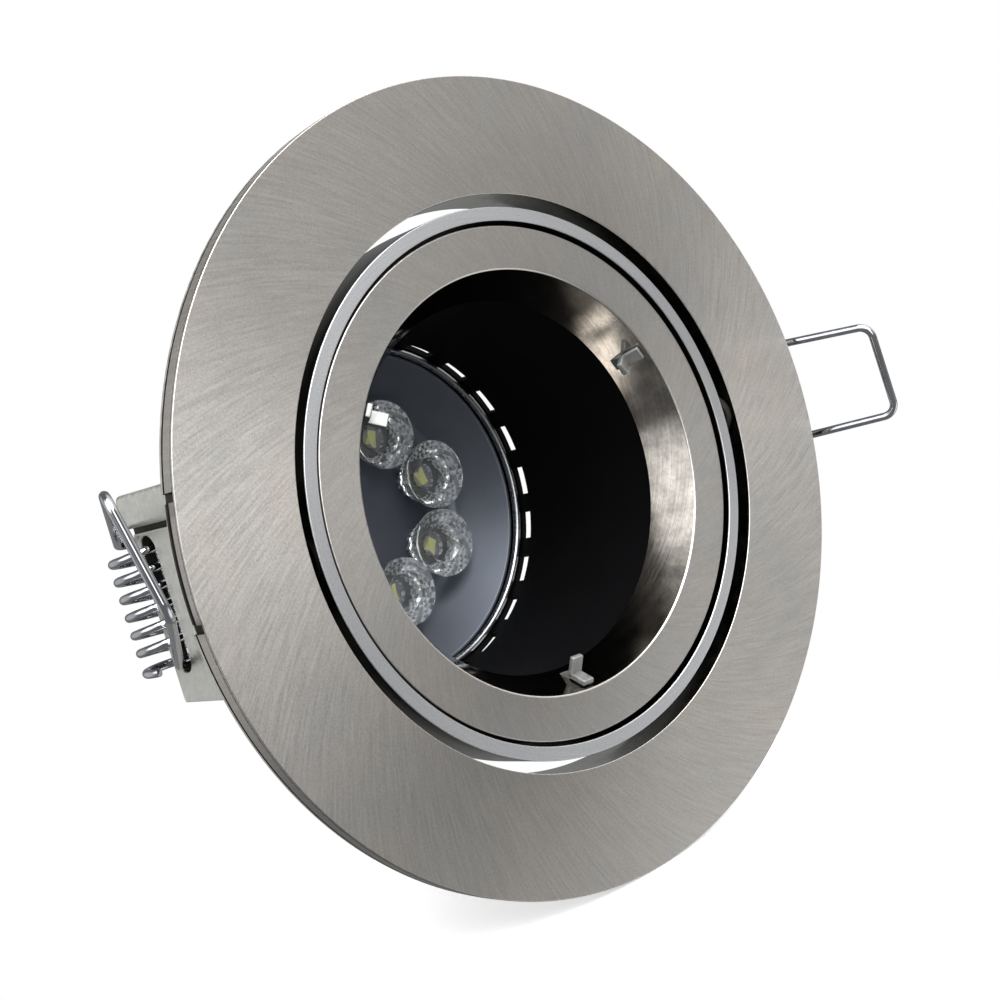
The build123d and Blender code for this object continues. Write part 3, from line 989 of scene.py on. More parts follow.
    def bracket_finish(self, middle: Vector) -> int:
        """Choose the finish of a face of a bracket.

        Args:
            middle: Middle of the face.

        Returns:
            1 for the walls of the slot and the groove's floor, painted dark as shade, and 0 for the rest.
        """
        # Walls of the slot and the groove's floor are painted dark as shade
        within = self.wall_inner + self.web_sunk < abs(middle.x) < self.wall_outer - self.web_sunk
        beside_slot = abs(middle.z) < self.block_low + self.slot_z
        return int(within and beside_slot and middle.y < self.slot_y + self.slot_half_width)

    def dress(self) -> None:
        """Build the flange's pieces and give them their finishes."""
        finishes = [SATIN_NICKEL, CAST_METAL, PAINTED_SHADE_CASTING, GAP_PLATE]
        ring = self.ring()
        make_piece("trim_ring", ring, Body.HOUSING, finishes, ("trim_flange",), self.ring_finish)
        for side in Side:
            make_piece(
                f"clip_bracket_{side.name.lower()}",
                placed(self.bracket(), side.turn()),
                Body.HOUSING,
                [CAST_METAL, PAINTED_SHADE_CASTING],
                paint=self.bracket_finish,
            )
        screws = merged([placed(self.screw(), side.turn()) for side in Side])
        washers = merged([placed(self.washer(), side.turn()) for side in Side])
        make_piece("pivot_pair", screws, Body.HOUSING, [PLATED_STEEL], ("pivot_screws",))
        make_piece("washer_pair", washers, Body.HOUSING, [FIBRE], ("friction_washers",))


@dataclass
class GimbalRing:
    """Tilting ring with its rear ledge and three bayonet notches."""

    bore: float = 35.4
    radius: float = 37.3
    steps: int = 360
    front: float = -2.5
    rear: float = 6.1
    ledge_bore: float = 32.5
    ledge_front: float = 4.7
    edge_round: float = 0.15
    notch_radius: float = 34.3
    notch_half: float = 12.0
    notch_azimuths: tuple[float, ...] = (120.0, 240.0, 0.0)

    def wall_finish(self, middle: Vector) -> int:
        """Choose the finish of a face of the ring.

        Args:
            middle: Middle of the face.

        Returns:
            1 for the outer wall and the bore, painted dark as shade, and 0 for the rest.
        """
        # The outer wall and the bore are painted dark as shade
        outer = radius_of(middle) > self.radius - self.edge_round / 2
        inner = radius_of(middle) < self.bore + self.edge_round / 2
        return int((outer or inner) and middle.y > self.front + self.edge_round)

    def dress(self) -> None:
        """Turn the ring, open its notches and give it its finish."""
        profile = [
            (self.bore, self.front, self.edge_round),
            (self.radius, self.front, self.edge_round),
            (self.radius, self.rear, self.edge_round),
            (self.ledge_bore, self.rear, 0),
            (self.ledge_bore, self.ledge_front, 0),
            (self.bore, self.ledge_front, 0),
        ]
        mesh = turned(profile, self.steps)
        for vert in mesh.verts:
            near = min(angle_apart(azimuth_of(vert.co), notch) for notch in self.notch_azimuths)
            if radius_of(vert.co) < self.ledge_bore + WELD and near < self.notch_half + WELD:
                set_radius(vert.co, self.notch_radius)
        finishes = [TURNED_NICKEL, PAINTED_SHADE_PLATE]
        make_piece("tilt_ring", mesh, Body.GIMBAL, finishes, ("gimbal_ring",), self.wall_finish)


@dataclass
class BezelRing:
    """Twist-off bezel with a satin face, a polished cone, bayonet lugs and the split tabs through it."""

    mouth: float = 28.9
    radius: float = 34.9
    steps: int = 360
    front: float = -1.9
    edge_round: float = 0.25
    mouth_round: float = 0.25
    mouth_polish: float = 0.05
    skirt: float = 4.4
    neck: float = 32.2
    neck_bore: float = 30.7
    rear: float = 7.7
    hollow: float = -0.1
    hollow_radius: float = 29.45
    cone_back: float = 4.2
    cone_radius: float = 25.85
    cone_outer: float = 27.3
    cone_slope: float = 0.5
    cone_margin: float = 0.2
    lug_radius: float = 34.0
    lug_front: float = 6.4
    lug_width: float = 20.0
    lug_steps: int = 20
    lug_sunk: float = 0.7
    lug_azimuths: tuple[float, ...] = (90.0, 210.0, 330.0)
    tab_azimuths: tuple[float, ...] = (26.5, 146.5, 266.5)
    tab_middle: float = 26.8
    tab_fork: float = 1.0
    tab_thickness: float = 0.8
    tab_width: float = 1.9
    tab_round: float = 0.12
    tab_prong: float = 2.8
    tab_prong_round: float = 0.16
    tab_tilts: tuple[float, ...] = (-62.0, 26.6)

    def ring(self) -> Mesh:
        """Turn the bezel and add its lugs."""
        profile = [
            (self.mouth, self.front, self.mouth_round),
            (self.radius, self.front, self.edge_round),
            (self.radius, self.skirt, 0),
            (self.neck, self.skirt, 0),
            (self.neck, self.rear, 0),
            (self.neck_bore, self.rear, 0),
            (self.neck_bore, self.hollow, 0),
            (self.hollow_radius, self.hollow, 0),
            (self.cone_outer, self.cone_back, 0),
            (self.cone_radius, self.cone_back, 0),
        ]
        return merged([turned(profile, self.steps), *(self.lug(azimuth) for azimuth in self.lug_azimuths)])

    def lug(self, azimuth: float) -> Mesh:
        """Build a bayonet lug.

        Args:
            azimuth: Its place in degrees.

        Returns:
            The lug's mesh.
        """
        mesh = bmesh.new()
        foot = self.neck - self.lug_sunk
        corners = [
            (foot, self.lug_front),
            (self.lug_radius, self.lug_front),
            (self.lug_radius, self.rear),
            (foot, self.rear),
        ]
        face = mesh.faces.new([mesh.verts.new((x, y, 0)) for x, y in corners])
        bmesh.ops.spin(
            mesh,
            geom=[face, *face.edges, *face.verts],
            cent=(0, 0, 0),
            axis=LAMP_AXIS,
            angle=math.radians(self.lug_width),
            steps=self.lug_steps,
        )
        return placed(mesh, azimuth_turn(azimuth + self.lug_width / 2))

    def strip(self, front: float, rear: float, rounding: float) -> Mesh:
        """Cut a straight run of the tabs' strip.

        Args:
            front: Its y in front.
            rear: Its y behind.
            rounding: Radius of its edges.

        Returns:
            The strip's mesh, about the lamp axis.
        """
        half = self.tab_thickness / 2
        outline = [(-half, rear), (half, rear), (half, front), (-half, front)]
        return slab(outline, -self.tab_width / 2, self.tab_width / 2, rounding)

    def tab(self, azimuth: float) -> Mesh:
        """Build a split tab: a stem and two splayed prongs of bent strip.

        Args:
            azimuth: Its place in degrees.

        Returns:
            The tab's mesh.
        """
        fork = Matrix.Translation((self.tab_middle, self.tab_fork, 0))
        parts = [placed(self.strip(0, self.cone_back - self.tab_fork, self.tab_round), fork)]
        for tilt in self.tab_tilts:
            prong = self.strip(-self.tab_prong, self.tab_thickness / 2, self.tab_prong_round)
            parts.append(placed(prong, fork @ Matrix.Rotation(math.radians(tilt), 4, "Z")))
        return placed(merged(parts), azimuth_turn(azimuth))

    def face_finish(self, middle: Vector) -> int:
        """Choose the finish of a face of the bezel.

        Args:
            middle: Middle of the face.

        Returns:
            1 for the polished cone and 0 for the rest.
        """
        cone_radius = self.cone_radius + (self.cone_back - middle.y) * self.cone_slope
        on_cone = radius_of(middle) < self.mouth - self.mouth_polish and middle.y < self.cone_back
        return int(on_cone and radius_of(middle) < cone_radius + self.cone_margin)

    def dress(self) -> None:
        """Build the bezel and its tabs and give them their finishes."""
        finishes = [BEZEL_NICKEL, POLISHED_NICKEL]
        ring = self.ring()
        make_piece("bezel_face", ring, Body.BEZEL, finishes, ("bezel_ring",), self.face_finish)
        for number, azimuth in enumerate(self.tab_azimuths, start=1):
            tab = self.tab(azimuth)
            replaced = (f"split_tab_{number}",)
            make_piece(f"bent_tab_{number}", tab, Body.BEZEL, [PLATED_STEEL], replaced)


@dataclass
class BaffleTube:
    """Black tube with a ring of windows and the inturned seat for the lamp."""

    bore: float = 26.4
    wall: float = 0.8
    front: float = 4.2
    seat: float = 39.2
    seat_bore: float = 24.45
    windows: int = 23
    steps_per_window: int = 20
    window_steps: int = 12
    window_first: float = 11.1
    window_low: float = 32.95
    window_high: float = 35.05

    def in_window(self, middle: Vector) -> bool:
        """Tell whether a face lies in a window.

        Args:
            middle: Middle of the face.

        Returns:
            True for a face in a window.
        """
        pitch = 360.0 / self.windows
        half = self.window_steps / 2 * pitch / self.steps_per_window
        across = (azimuth_of(middle) - self.window_first + pitch / 2) % pitch - pitch / 2
        return self.window_low < middle.y < self.window_high and abs(across) < half

    def dress(self) -> None:
        """Turn the tube's inner skin, open the windows, thicken it and give it its finish."""
        heights = (self.front, self.window_low, self.window_high, self.seat)
        profile = [*((self.bore, y, 0) for y in heights), (self.seat_bore, self.seat, 0)]
        mesh = turned(profile, self.windows * self.steps_per_window, closed=False)
        bmesh.ops.remove_doubles(mesh, verts=mesh.verts[:], dist=WELD)
        placed(mesh, azimuth_turn(self.window_first))
        gone = [face for face in mesh.faces if self.in_window(face.calc_center_median())]
        bmesh.ops.delete(mesh, geom=gone, context="FACES")
        bmesh.ops.recalc_face_normals(mesh, faces=mesh.faces[:])
        sample = min(mesh.faces, key=lambda face: face.calc_center_median().y)
        middle = sample.calc_center_median()
        if sample.normal.x * middle.x + sample.normal.z * middle.z < 0:
            bmesh.ops.reverse_faces(mesh, faces=mesh.faces[:])
        bmesh.ops.solidify(mesh, geom=mesh.faces[:], thickness=-self.wall)
        make_piece("windowed_tube", mesh, Body.BEZEL, [BLACK_ENAMEL], ("baffle_tube",))


@dataclass
class WireForm:
    """Round wire drawn through stations by straight runs and pairs of arcs, as a wire former bends it."""

    radius: float
    sides: int = 16
    arc_step: float = 0.45

    def draw(self, stations: list[Station]) -> Mesh:
        """Draw the wire.

        Args:
            stations: Points and directions that the wire passes.

        Returns:
            The wire's mesh with closed ends.
        """
        mesh = bmesh.new()
        start, way = stations[0]
        bmesh.ops.create_circle(mesh, segments=self.sides, radius=self.radius)
        placed(mesh, Matrix.Translation(start) @ way.to_track_quat("Z", "Y").to_matrix().to_4x4())
        loop = mesh.edges[:]
        first = loop
        for (point, heading), (goal, goal_heading) in zip(stations, stations[1:]):
            chord = (goal - point).normalized()
            if chord.dot(heading) > STRAIGHT and chord.dot(goal_heading) > STRAIGHT:
                loop = self.straight(mesh, loop, goal - point)
                continue
            middle = self.meeting_point(point, heading, goal, goal_heading)
            loop, heading = self.arc(mesh, loop, point, heading, middle)
            loop, heading = self.arc(mesh, loop, middle, heading, goal)
        for end in (first, loop):
            bmesh.ops.edgeloop_fill(mesh, edges=end)
        return mesh

    def straight(self, mesh: Mesh, loop: Edges, run: Vector) -> Edges:
        """Draw a straight run.

        Args:
            mesh: The wire's mesh.
            loop: Loop that the run starts from.
            run: Length and direction of the run.

        Returns:
            The run's last loop.
        """
        grown = bmesh.ops.extrude_edge_only(mesh, edges=loop)["geom"]
        moved = corners_in(grown)
        bmesh.ops.translate(mesh, verts=moved, vec=run)
        return [edge for edge in edges_in(grown) if all(vert in moved for vert in edge.verts)]

    def arc(self, mesh: Mesh, loop: Edges, start: Vector, way: Vector, end: Vector) -> tuple[Edges, Vector]:
        """Draw an arc that leaves a point one way and ends at another.

        Args:
            mesh: The wire's mesh.
            loop: Loop that the arc starts from.
            start: Point where it starts.
            way: Direction that it starts in.
            end: Point where it ends.

        Returns:
            The arc's last loop and the direction that it ends in.
        """
        run = end - start
        side = (run - way * run.dot(way)).normalized()
        radius = run.length_squared / (2 * run.dot(side))
        angle = 2 * math.atan2(run.dot(side), run.dot(way))
        axis = way.cross(side)
        grown = bmesh.ops.spin(
            mesh,
            geom=loop,
            cent=start + side * radius,
            axis=axis,
            angle=angle,
            steps=max(2, math.ceil(radius * angle / self.arc_step)),
        )
        return edges_in(grown["geom_last"]), Matrix.Rotation(angle, 3, axis) @ way

    @staticmethod
    def meeting_point(start: Vector, way: Vector, end: Vector, end_way: Vector) -> Vector:
        """Find where the two arcs between a pair of stations meet.

        Args:
            start: Point of the first station.
            way: Its direction.
            end: Point of the second station.
            end_way: Its direction.

        Returns:
            The point where they meet.
        """
        span = end - start
        ways = way + end_way
        bend = 2 * (1 - way.dot(end_way))
        reach = (math.sqrt(span.dot(ways) ** 2 + bend * span.dot(span)) - span.dot(ways)) / bend
        return (start + way * reach + end - end_way * reach) / 2

    @staticmethod
    def bend(before: Vector, corner: Vector, after: Vector, radius: float) -> list[Station]:
        """Round a corner of the wire's path.

        Args:
            before: Corner before it.
            corner: The corner.
            after: Corner after it.
            radius: Radius of the bend.

        Returns:
            Stations at both ends of the bend.
        """
        way_in = (corner - before).normalized()
        way_out = (after - corner).normalized()
        setback = radius * math.tan(way_in.angle(way_out) / 2)
        return [(corner - way_in * setback, way_in), (corner + way_out * setback, way_out)]


@dataclass
class SpringClip:
    """Wire clip: a coil hung on the bracket's bar that runs out into a U-shaped bail and hooks back."""

    side: Side
    rest_angle: float
    sway: float
    wire: WireForm = field(default_factory=lambda: WireForm(0.6))
    axis_x: float = 45.5
    axis_y: float = 25.9
    coil_radius: float = 3.7
    pitch: float = 2.4
    turns: float = 6.2
    top: float = 7.7
    hook_height: float = -9.0
    hook_reach: float = 1.1
    hook_bend: float = 1.6
    hook_sweep: float = 300.0
    hook_steps: int = 4
    reach: float = 42.05
    width: float = 14.4
    corner: float = 2.0
    coil_side: float = 1.7
    hook_side: float = -0.95
    leg_turn: float = 70.0
    leg_set_in: float = 1.4
    leg_bend: float = 1.5

    def spot(self, outward: float, forward: float, height: float) -> Vector:
        """Point given in the clip's own terms from its coil axis."""
        hand = self.side.value
        return Vector((hand * (self.axis_x + outward), self.axis_y - forward, -hand * height))

    def on_turn(self, angle: float, height: float, rise: float) -> Station:
        """Find a station on the coil's circle.

        Args:
            angle: Angle round the circle.
            height: Height along the coil's axis.
            rise: Height that the wire gains for each radian.

        Returns:
            The station.
        """
        across = self.coil_radius * math.cos(angle)
        along = self.coil_radius * math.sin(angle)
        ahead = self.spot(-along, across, rise) - self.spot(0, 0, 0)
        return self.spot(across, along, height), ahead.normalized()

    def on_bail(self, reach: float, across: float, height: float) -> Vector:
        """Find a point of the bail.

        Args:
            reach: Distance from the coil's axis along the bail.
            across: Distance from the bail's plane.
            height: Height along the coil's axis.

        Returns:
            The point.
        """
        rest = math.radians(self.rest_angle)
        outward = reach * math.cos(rest) + across * math.sin(rest)
        forward = reach * math.sin(rest) - across * math.cos(rest)
        return self.spot(outward, forward, height)

    def stations(self) -> list[Station]:
        """Lay out the whole wire, from the coil's tail to the hook's end.

        Returns:
            Stations along the wire.
        """
        turn = math.radians(self.leg_turn)
        leave = math.radians(self.rest_angle) - math.pi / 2 - turn
        half_turns = math.ceil(2 * self.turns)
        rise = self.pitch / FULL_TURN
        backs = [FULL_TURN * self.turns * (1 - step / half_turns) for step in range(half_turns + 1)]
        route = [self.on_turn(leave - back, self.top - rise * back, rise) for back in backs]
        middle = (self.top + self.hook_height) / 2 + self.sway
        coil_corner = self.on_bail(self.reach, self.coil_side, middle + self.width / 2)
        hook_corner = self.on_bail(self.reach, self.hook_side, middle - self.width / 2)
        coil_end, coil_way = route[-1]
        run = (self.coil_radius - self.leg_set_in - self.coil_radius * math.cos(turn)) / math.sin(turn)
        leg_corner = coil_end + coil_way * run
        entry = self.spot(self.hook_reach, self.coil_radius, self.hook_height)
        inside = self.spot(0, self.coil_radius, self.hook_height)
        corners = [coil_end, leg_corner, coil_corner, hook_corner, entry, inside]
        bends = (self.leg_bend, self.corner, self.corner, self.hook_bend)
        for number, radius in enumerate(bends):
            route += self.wire.bend(*corners[number:number + 3], radius)
        for step in range(self.hook_steps + 1):
            swept = math.radians(self.hook_sweep) * step / self.hook_steps
            route.append(self.on_turn(math.pi / 2 + swept, self.hook_height, 0))
        return route

    def dress(self) -> None:
        """Draw the wire and give it its finish."""
        name = self.side.name.lower()
        body = Body.CLIP_LEFT if self.side is Side.LEFT else Body.CLIP_RIGHT
        mesh = self.wire.draw(self.stations())
        make_piece(f"wire_clip_{name}", mesh, body, [DRAWN_WIRE], (f"spring_{name}",))


@dataclass
class SnapRing:
    """Open wire ring in front of the lamp's rim, with both ends turned inwards."""

    wire: WireForm = field(default_factory=lambda: WireForm(0.6, arc_step=0.6))
    radius: float = 25.7
    y: float = 35.6
    gap_azimuth: float = 172.0
    gap_width: float = 26.0
    ear: float = 2.6
    corner: float = 1.3
    arcs: int = 4

    def on_ring(self, azimuth: float) -> Station:
        """Find a station on the ring.

        Args:
            azimuth: Its azimuth in degrees.

        Returns:
            The station.
        """
        angle = math.radians(azimuth)
        point = Vector((self.radius * math.cos(angle), self.y, self.radius * math.sin(angle)))
        return point, Vector((-math.sin(angle), 0, math.cos(angle)))

    def dress(self) -> None:
        """Draw the ring and give it its finish."""
        start = self.gap_azimuth + self.gap_width / 2
        sweep = 360.0 - self.gap_width
        ring = [self.on_ring(start + sweep * step / self.arcs) for step in range(self.arcs + 1)]
        ears = []
        for (point, way), sign in ((ring[0], -1), (ring[-1], 1)):
            inward = Vector((-point.x, 0, -point.z)).normalized()
            corner = point + way * sign * self.corner
            ears.append([(corner + inward * length, inward * sign) for length in (self.ear, self.corner)])
        mesh = self.wire.draw(ears[0] + ring + ears[1][::-1])
        make_piece("retaining_wire", mesh, Body.BEZEL, [SNAP_WIRE], ("lamp_snap_ring",))


@dataclass
class ReflectorLamp:
    """Reflector lamp: dish, lenses and emitters in front, fins, base and two pins behind."""

    radius: float = 25.35
    front: float = 36.5
    rim_rear: float = 39.0
    rim_width: float = 0.5
    rim_round: float = 0.2
    lip_round: float = 0.15
    floor: float = 43.2
    floor_radius: float = 18.2
    floor_round: float = 1.2
    back_radius: float = 24.15
    back: float = 44.4
    lens_count: int = 7
    lens_ring: float = 12.6
    lens_first: float = 14.9
    lens_top: float = 5.4
    lens_top_round: float = 0.2
    lens_base: float = 3.0
    lens_height: float = 6.6
    lens_edge: float = 0.6
    lens_well: float = 2.0
    lens_well_depth: float = 1.1
    lens_well_crown: float = 0.1
    lens_dip: float = 0.5
    lens_dip_radius: float = 3.05
    lens_dip_round: float = 0.6
    lens_crown: float = 0.02
    lens_ridge_radius: float = 3.35
    lens_ridge_round: float = 0.1
    lens_rows: int = 11
    lens_columns: int = 36
    lens_pillow: float = 0.3
    glint_rows: int = 7
    glint_columns: int = 3
    glint_cycle: int = 5
    glint_share: int = 2
    led_size: float = 2.4
    led_height: float = 1.9
    led_round: float = 0.15
    sink_plate: float = 47.2
    sink_plate_round: float = 0.4
    sink_front_round: float = 0.2
    sink_rear: float = 67.8
    sink_steps: int = 120
    core_front: float = 16.0
    core_rear: float = 11.5
    fin_front: float = 23.4
    fin_rear: float = 13.4
    fin_count: int = 20
    fin_thickness: float = 1.5
    fin_round: float = 0.3
    collar_radius: float = 13.6
    collar_front_round: float = 0.3
    collar_rear: float = 72.3
    base_round: float = 0.8
    base_steps: int = 96
    shoulder_radius: float = 12.6
    shoulder_rear: float = 79.3
    plug_radius: float = 10.2
    plug_foot_round: float = 0.2
    plug_rear: float = 83.0
    pin_x: float = 5.0
    pin_neck: float = 1.5
    pin_head: float = 2.5
    pin_head_front: float = 86.2
    pin_head_round: float = 0.15
    pin_tip: float = 89.2
    pin_tip_round: float = 0.7
    pin_steps: int = 40

    def dish(self) -> Mesh:
        """Turn the dish with its rim."""
        profile = [
            (0, self.floor, 0),
            (self.floor_radius, self.floor, self.floor_round),
            (self.radius - self.rim_width, self.front, self.lip_round),
            (self.radius, self.front, self.rim_round),
            (self.radius, self.rim_rear, 0),
            (self.back_radius, self.rim_rear, 0),
            (self.back_radius, self.back, 0),
            (0, self.back, 0),
        ]
        return turned(profile, closed=False)

    def lens(self) -> Mesh:
        """Build a lens about the lamp axis: pillow facets on its cone, stepped face and a well at its foot.

        Returns:
            The lens's mesh.
        """
        top = self.floor - self.lens_height
        edge = top + self.lens_edge
        taper = self.lens_base - self.lens_top
        shares = [step / self.lens_rows for step in range(self.lens_rows + 1)]
        well_top = self.floor - self.lens_well_depth
        profile = [
            (0, top + self.lens_crown, 0),
            (self.lens_dip_radius / 2, top + (self.lens_crown + self.lens_dip) / 2, self.lens_dip_round),
            (self.lens_dip_radius, top + self.lens_dip, self.lens_ridge_round),
            (self.lens_ridge_radius, top, self.lens_ridge_round),
            (self.lens_top, top, self.lens_top_round),
            *((self.lens_top + taper * share, edge + (self.floor - edge) * share, 0) for share in shares),
            (self.lens_well, self.floor, 0),
            (self.lens_well, well_top, 0),
            (0, well_top - self.lens_well_crown, 0),
        ]
        mesh = turned(profile, self.lens_columns, closed=False)
        bmesh.ops.remove_doubles(mesh, verts=mesh.verts[:], dist=WELD)
        column = 360.0 / self.lens_columns
        row_height = (self.floor - edge) / self.lens_rows
        for vert in mesh.verts:
            radius = radius_of(vert.co)
            row = (vert.co.y - edge) / row_height
            on_cone = radius > self.lens_base and 0 < round(row) < self.lens_rows
            if on_cone and (round(row) + round(azimuth_of(vert.co) / column)) % 2:
                set_radius(vert.co, radius - self.lens_pillow)
        return mesh

    def faceted(self, middle: Vector) -> bool:
        """Whether a lens face lies behind the lens's smooth front."""
        return middle.y > self.floor - self.lens_height + self.lens_edge

    def facet_finish(self, middle: Vector, place: Matrix) -> int:
        """Choose the finish of a face of a lens; some facets of the cone are made milky white as painted
        glints.

        Args:
            middle: Middle of the face.
            place: Place of the lens.

        Returns:
            1 for a milky white facet that paints a glint, and 0 for the rest.
        """
        local = place.inverted() @ middle
        row = int((local.y - self.floor) / self.lens_height * self.lens_rows)
        column = int(azimuth_of(local) / 360.0 * self.lens_columns)
        # Some facets of the cone are painted as white glints, in a fixed pattern
        chosen = (self.glint_rows * row + self.glint_columns * column) % self.glint_cycle < self.glint_share
        return int(chosen and self.faceted(middle) and radius_of(local) > self.lens_base)

    def emitter(self) -> Mesh:
        """Build a square emitter with rounded edges, about the lamp axis.

        Returns:
            The emitter's mesh.
        """
        mesh = bmesh.new()
        bmesh.ops.create_cube(mesh, size=1.0)
        bmesh.ops.scale(mesh, vec=(self.led_size, self.led_height, self.led_size), verts=mesh.verts[:])
        bmesh.ops.translate(mesh, vec=(0, self.back - self.led_height / 2, 0), verts=mesh.verts[:])
        round_off(mesh, mesh.edges[:], self.led_round, FINE_SEGMENTS)
        return mesh

    def sink(self) -> Mesh:
        """Build the heat sink: turned core and collar with a ring of fins.

        Returns:
            The heat sink's mesh.
        """
        core = [
            (0, self.back, 0),
            (self.back_radius, self.back, self.sink_front_round),
            (self.back_radius, self.sink_plate, self.sink_plate_round),
            (self.core_front, self.sink_plate, 0),
            (self.core_rear, self.sink_rear, 0),
            (self.collar_radius, self.sink_rear, self.collar_front_round),
            (self.collar_radius, self.collar_rear, self.base_round),
            (0, self.collar_rear, 0),
        ]
        half = self.fin_thickness / 2
        outline = [
            (self.core_rear / 2, self.sink_plate - half),
            (self.fin_front, self.sink_plate - half),
            (self.fin_rear, self.sink_rear + half),
            (self.core_rear / 2, self.sink_rear + half),
        ]
        fins = slab(outline, -half, half, self.fin_round)
        bmesh.ops.spin(
            fins,
            geom=fins.verts[:] + fins.edges[:] + fins.faces[:],
            cent=(0, 0, 0),
            axis=LAMP_AXIS,
            angle=FULL_TURN * (self.fin_count - 1) / self.fin_count,
            steps=self.fin_count - 1,
            use_duplicate=True,
        )
        return merged([turned(core, self.sink_steps, closed=False), fins])

    def base(self) -> Mesh:
        """Turn the stepped base."""
        profile = [
            (0, self.collar_rear, 0),
            (self.shoulder_radius, self.collar_rear, 0),
            (self.shoulder_radius, self.shoulder_rear, self.base_round),
            (self.plug_radius, self.shoulder_rear, self.plug_foot_round),
            (self.plug_radius, self.plug_rear, self.base_round),
            (0, self.plug_rear, 0),
        ]
        return turned(profile, self.base_steps, closed=False)

    def pin(self, x: float) -> Mesh:
        """Turn a headed contact pin about an axis at x."""
        profile = [
            (0, self.plug_rear, 0),
            (self.pin_neck, self.plug_rear, 0),
            (self.pin_neck, self.pin_head_front, 0),
            (self.pin_head, self.pin_head_front, self.pin_head_round),
            (self.pin_head, self.pin_tip, self.pin_tip_round),
            (0, self.pin_tip, 0),
        ]
        return placed(turned(profile, self.pin_steps, closed=False), Matrix.Translation((x, 0, 0)))

    def dress(self, nodes: dict[str, bpy.types.Object]) -> None:
        """Build the lamp's pieces and give them their finishes.

        Args:
            nodes: CAD nodes by name; the hidden board keeps its own mesh.
        """
        make_piece("lamp_front", self.dish(), Body.LAMP, [LAMP_GREY], ("lamp_dish",))
        for number in range(self.lens_count):
            azimuth = self.lens_first + 360.0 * number / self.lens_count
            place = azimuth_turn(azimuth) @ Matrix.Translation((self.lens_ring, 0, 0))
            label = number + 1
            make_piece(
                f"clear_lens_{label}",
                placed(self.lens(), place),
                Body.LAMP,
                [CLEAR_ACRYLIC, PAINTED_GLINT_ACRYLIC],
                (f"lens_{label}",),
                partial(self.facet_finish, place=place),
                facets=self.faceted,
            )
            emitter = placed(self.emitter(), place)
            make_piece(f"emitter_{label}", emitter, Body.LAMP, [PHOSPHOR], (f"led_{label}",))
        make_piece("finned_sink", self.sink(), Body.LAMP, [CAST_ALUMINIUM], ("lamp_body",))
        make_piece("stepped_base", self.base(), Body.LAMP, [WHITE_MOULDING], ("lamp_base",))
        pins = merged([self.pin(x) for x in (-self.pin_x, self.pin_x)])
        make_piece("pin_pair", pins, Body.LAMP, [BRASS], ("contact_pins",))
        board = nodes["led_board"]
        board.data.materials.clear()
        board.data.materials.append(SOLDER_MASK.material())
        LOG.info("led_board: CAD node with %s", SOLDER_MASK.name)


@dataclass(frozen=True)
class Glow:
    """Soft-edged round light of the room, as the object sees it; angles in degrees."""

    towards: tuple[float, float, float]
    full: float
    end: float
    strength: float

    def fade(self, tree: Tree, direction: Socket) -> Socket:
        """Fade the glow by direction.

        Args:
            tree: The room's node tree.
            direction: Direction that a ray leaves in.

        Returns:
            The strength, full at the middle and nothing past the end angle.
        """
        middle = {1: Vector(self.towards).normalized()}
        nearness = add_node(tree, "ShaderNodeVectorMath", middle, {0: direction}, operation="DOT_PRODUCT")
        edges = (math.cos(math.radians(self.end)), math.cos(math.radians(self.full)))
        return spread(tree, nearness.outputs["Value"], 0.0, self.strength, edges, "SMOOTHSTEP")


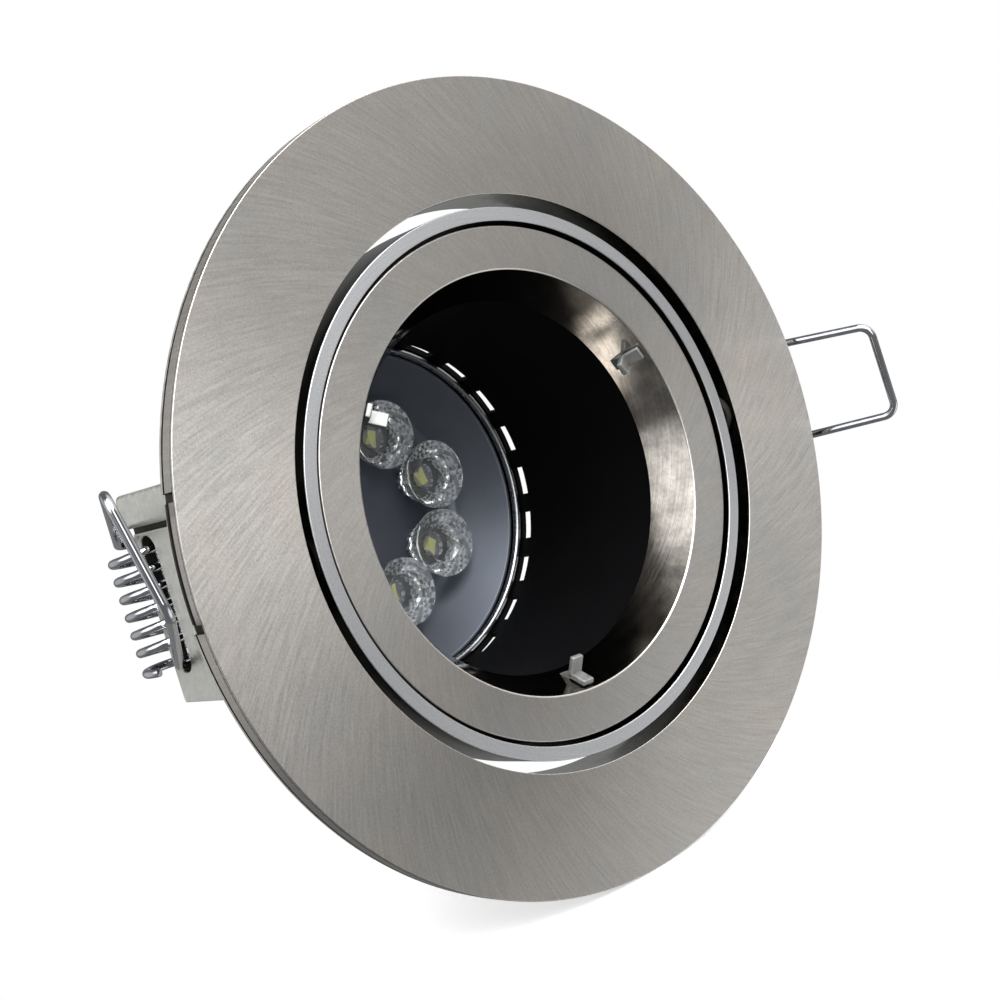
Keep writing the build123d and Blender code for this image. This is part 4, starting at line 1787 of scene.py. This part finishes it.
@dataclass
class Studio:
    """Pale round floor, soft room light and the camera at the photograph's angle; places in metres."""

    floor_z: float = -0.0552
    floor_radius: float = 0.15
    floor_middle: tuple[float, float] = (-0.06, -0.08)
    floor_sides: int = 96
    lens_mm: float = 57.6
    sensor_mm: float = 36.0
    clip_start: float = 0.005
    eye: tuple[float, float, float] = (-0.13876, -0.16543, 0.0141)
    forward: tuple[float, float, float] = (0.6236, 0.7786, -0.0702)
    upward: tuple[float, float, float] = (0.2651, -0.1262, 0.9559)
    white: str = "ffffff"
    room_level: float = 0.22
    glows: tuple[Glow, ...] = (
        Glow((-0.20, -0.62, 0.76), 13.0, 37.0, 10.8),
        Glow((-0.89, -0.13, 0.44), 13.0, 40.0, 2.3),
        Glow((0.65, -0.35, 0.70), 15.0, 50.0, 1.1),
        Glow((0.62, -0.45, -0.64), 10.0, 35.0, 1.2),
        Glow((-0.65, 0.75, 0.0), 15.0, 45.0, 0.5),
        Glow((-0.30, -0.95, 0.10), 8.0, 16.0, 3.5),
    )
    backdrop_level: float = 1.0

    def floor(self) -> None:
        """Lay the floor, which stays out of the metal's reflections."""
        mesh = bmesh.new()
        bmesh.ops.create_circle(mesh, cap_ends=True, segments=self.floor_sides, radius=self.floor_radius)
        bmesh.ops.translate(mesh, vec=(*self.floor_middle, self.floor_z), verts=mesh.verts[:])
        data = bpy.data.meshes.new("studio_floor")
        mesh.to_mesh(data)
        mesh.free()
        data.materials.append(STUDIO_SHEET.material())
        floor = bpy.data.objects.new("studio_floor", data)
        floor.visible_glossy = False
        bpy.context.scene.collection.objects.link(floor)
        floor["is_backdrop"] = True

    def lights(self) -> None:
        """Set the room's glows, and the plain white backdrop that the camera sees."""
        world = bpy.data.worlds.new("studio_room")
        world.use_nodes = True
        tree = world.node_tree
        tree.nodes.clear()
        direction = add_node(tree, "ShaderNodeTexCoord").outputs["Generated"]
        total = self.room_level
        for glow in self.glows:
            total = reckon(tree, "ADD", total, glow.fade(tree, direction))
        white = {"Color": linear(self.white)}
        room = add_node(tree, "ShaderNodeBackground", white, {"Strength": total})
        backdrop = add_node(tree, "ShaderNodeBackground", {**white, "Strength": self.backdrop_level})
        seen = add_node(tree, "ShaderNodeLightPath").outputs["Is Camera Ray"]
        parts = {0: seen, 1: room.outputs[0], 2: backdrop.outputs[0]}
        shown = add_node(tree, "ShaderNodeMixShader", links=parts)
        add_node(tree, "ShaderNodeOutputWorld", links={"Surface": shown.outputs[0]})
        bpy.context.scene.world = world

    def camera(self) -> None:
        """Stand the camera where the photograph was taken from."""
        data = bpy.data.cameras.new("photo_camera")
        data.lens = self.lens_mm
        data.sensor_width = self.sensor_mm
        data.clip_start = self.clip_start
        camera = bpy.data.objects.new("photo_camera", data)
        ahead = Vector(self.forward).normalized()
        right = ahead.cross(Vector(self.upward)).normalized()
        up = right.cross(ahead)
        turn = Matrix((right, up, -ahead)).transposed().to_4x4()
        camera.matrix_world = Matrix.Translation(self.eye) @ turn
        bpy.context.scene.collection.objects.link(camera)
        bpy.context.scene.camera = camera

    def set_up(self) -> None:
        """Lay the floor, hang the lights, stand the camera and keep plain display colours."""
        self.floor()
        self.lights()
        self.camera()
        bpy.context.scene.view_settings.view_transform = "Standard"


def main() -> None:
    logging.basicConfig(level=logging.INFO, format="%(name)s: %(message)s")
    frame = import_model()
    cad_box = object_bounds()
    TrimFlange(radius=cad_box[1].z / MM).dress()
    GimbalRing().dress()
    BezelRing().dress()
    BaffleTube().dress()
    SnapRing().dress()
    ReflectorLamp().dress(frame["nodes"])
    SpringClip(Side.LEFT, rest_angle=64.6, sway=8.3, reach=41.35, coil_side=2.1, hook_side=-0.55).dress()
    SpringClip(Side.RIGHT, rest_angle=63.0, sway=1.6).dress()
    Studio().set_up()


if __name__ == "__main__":
    main()
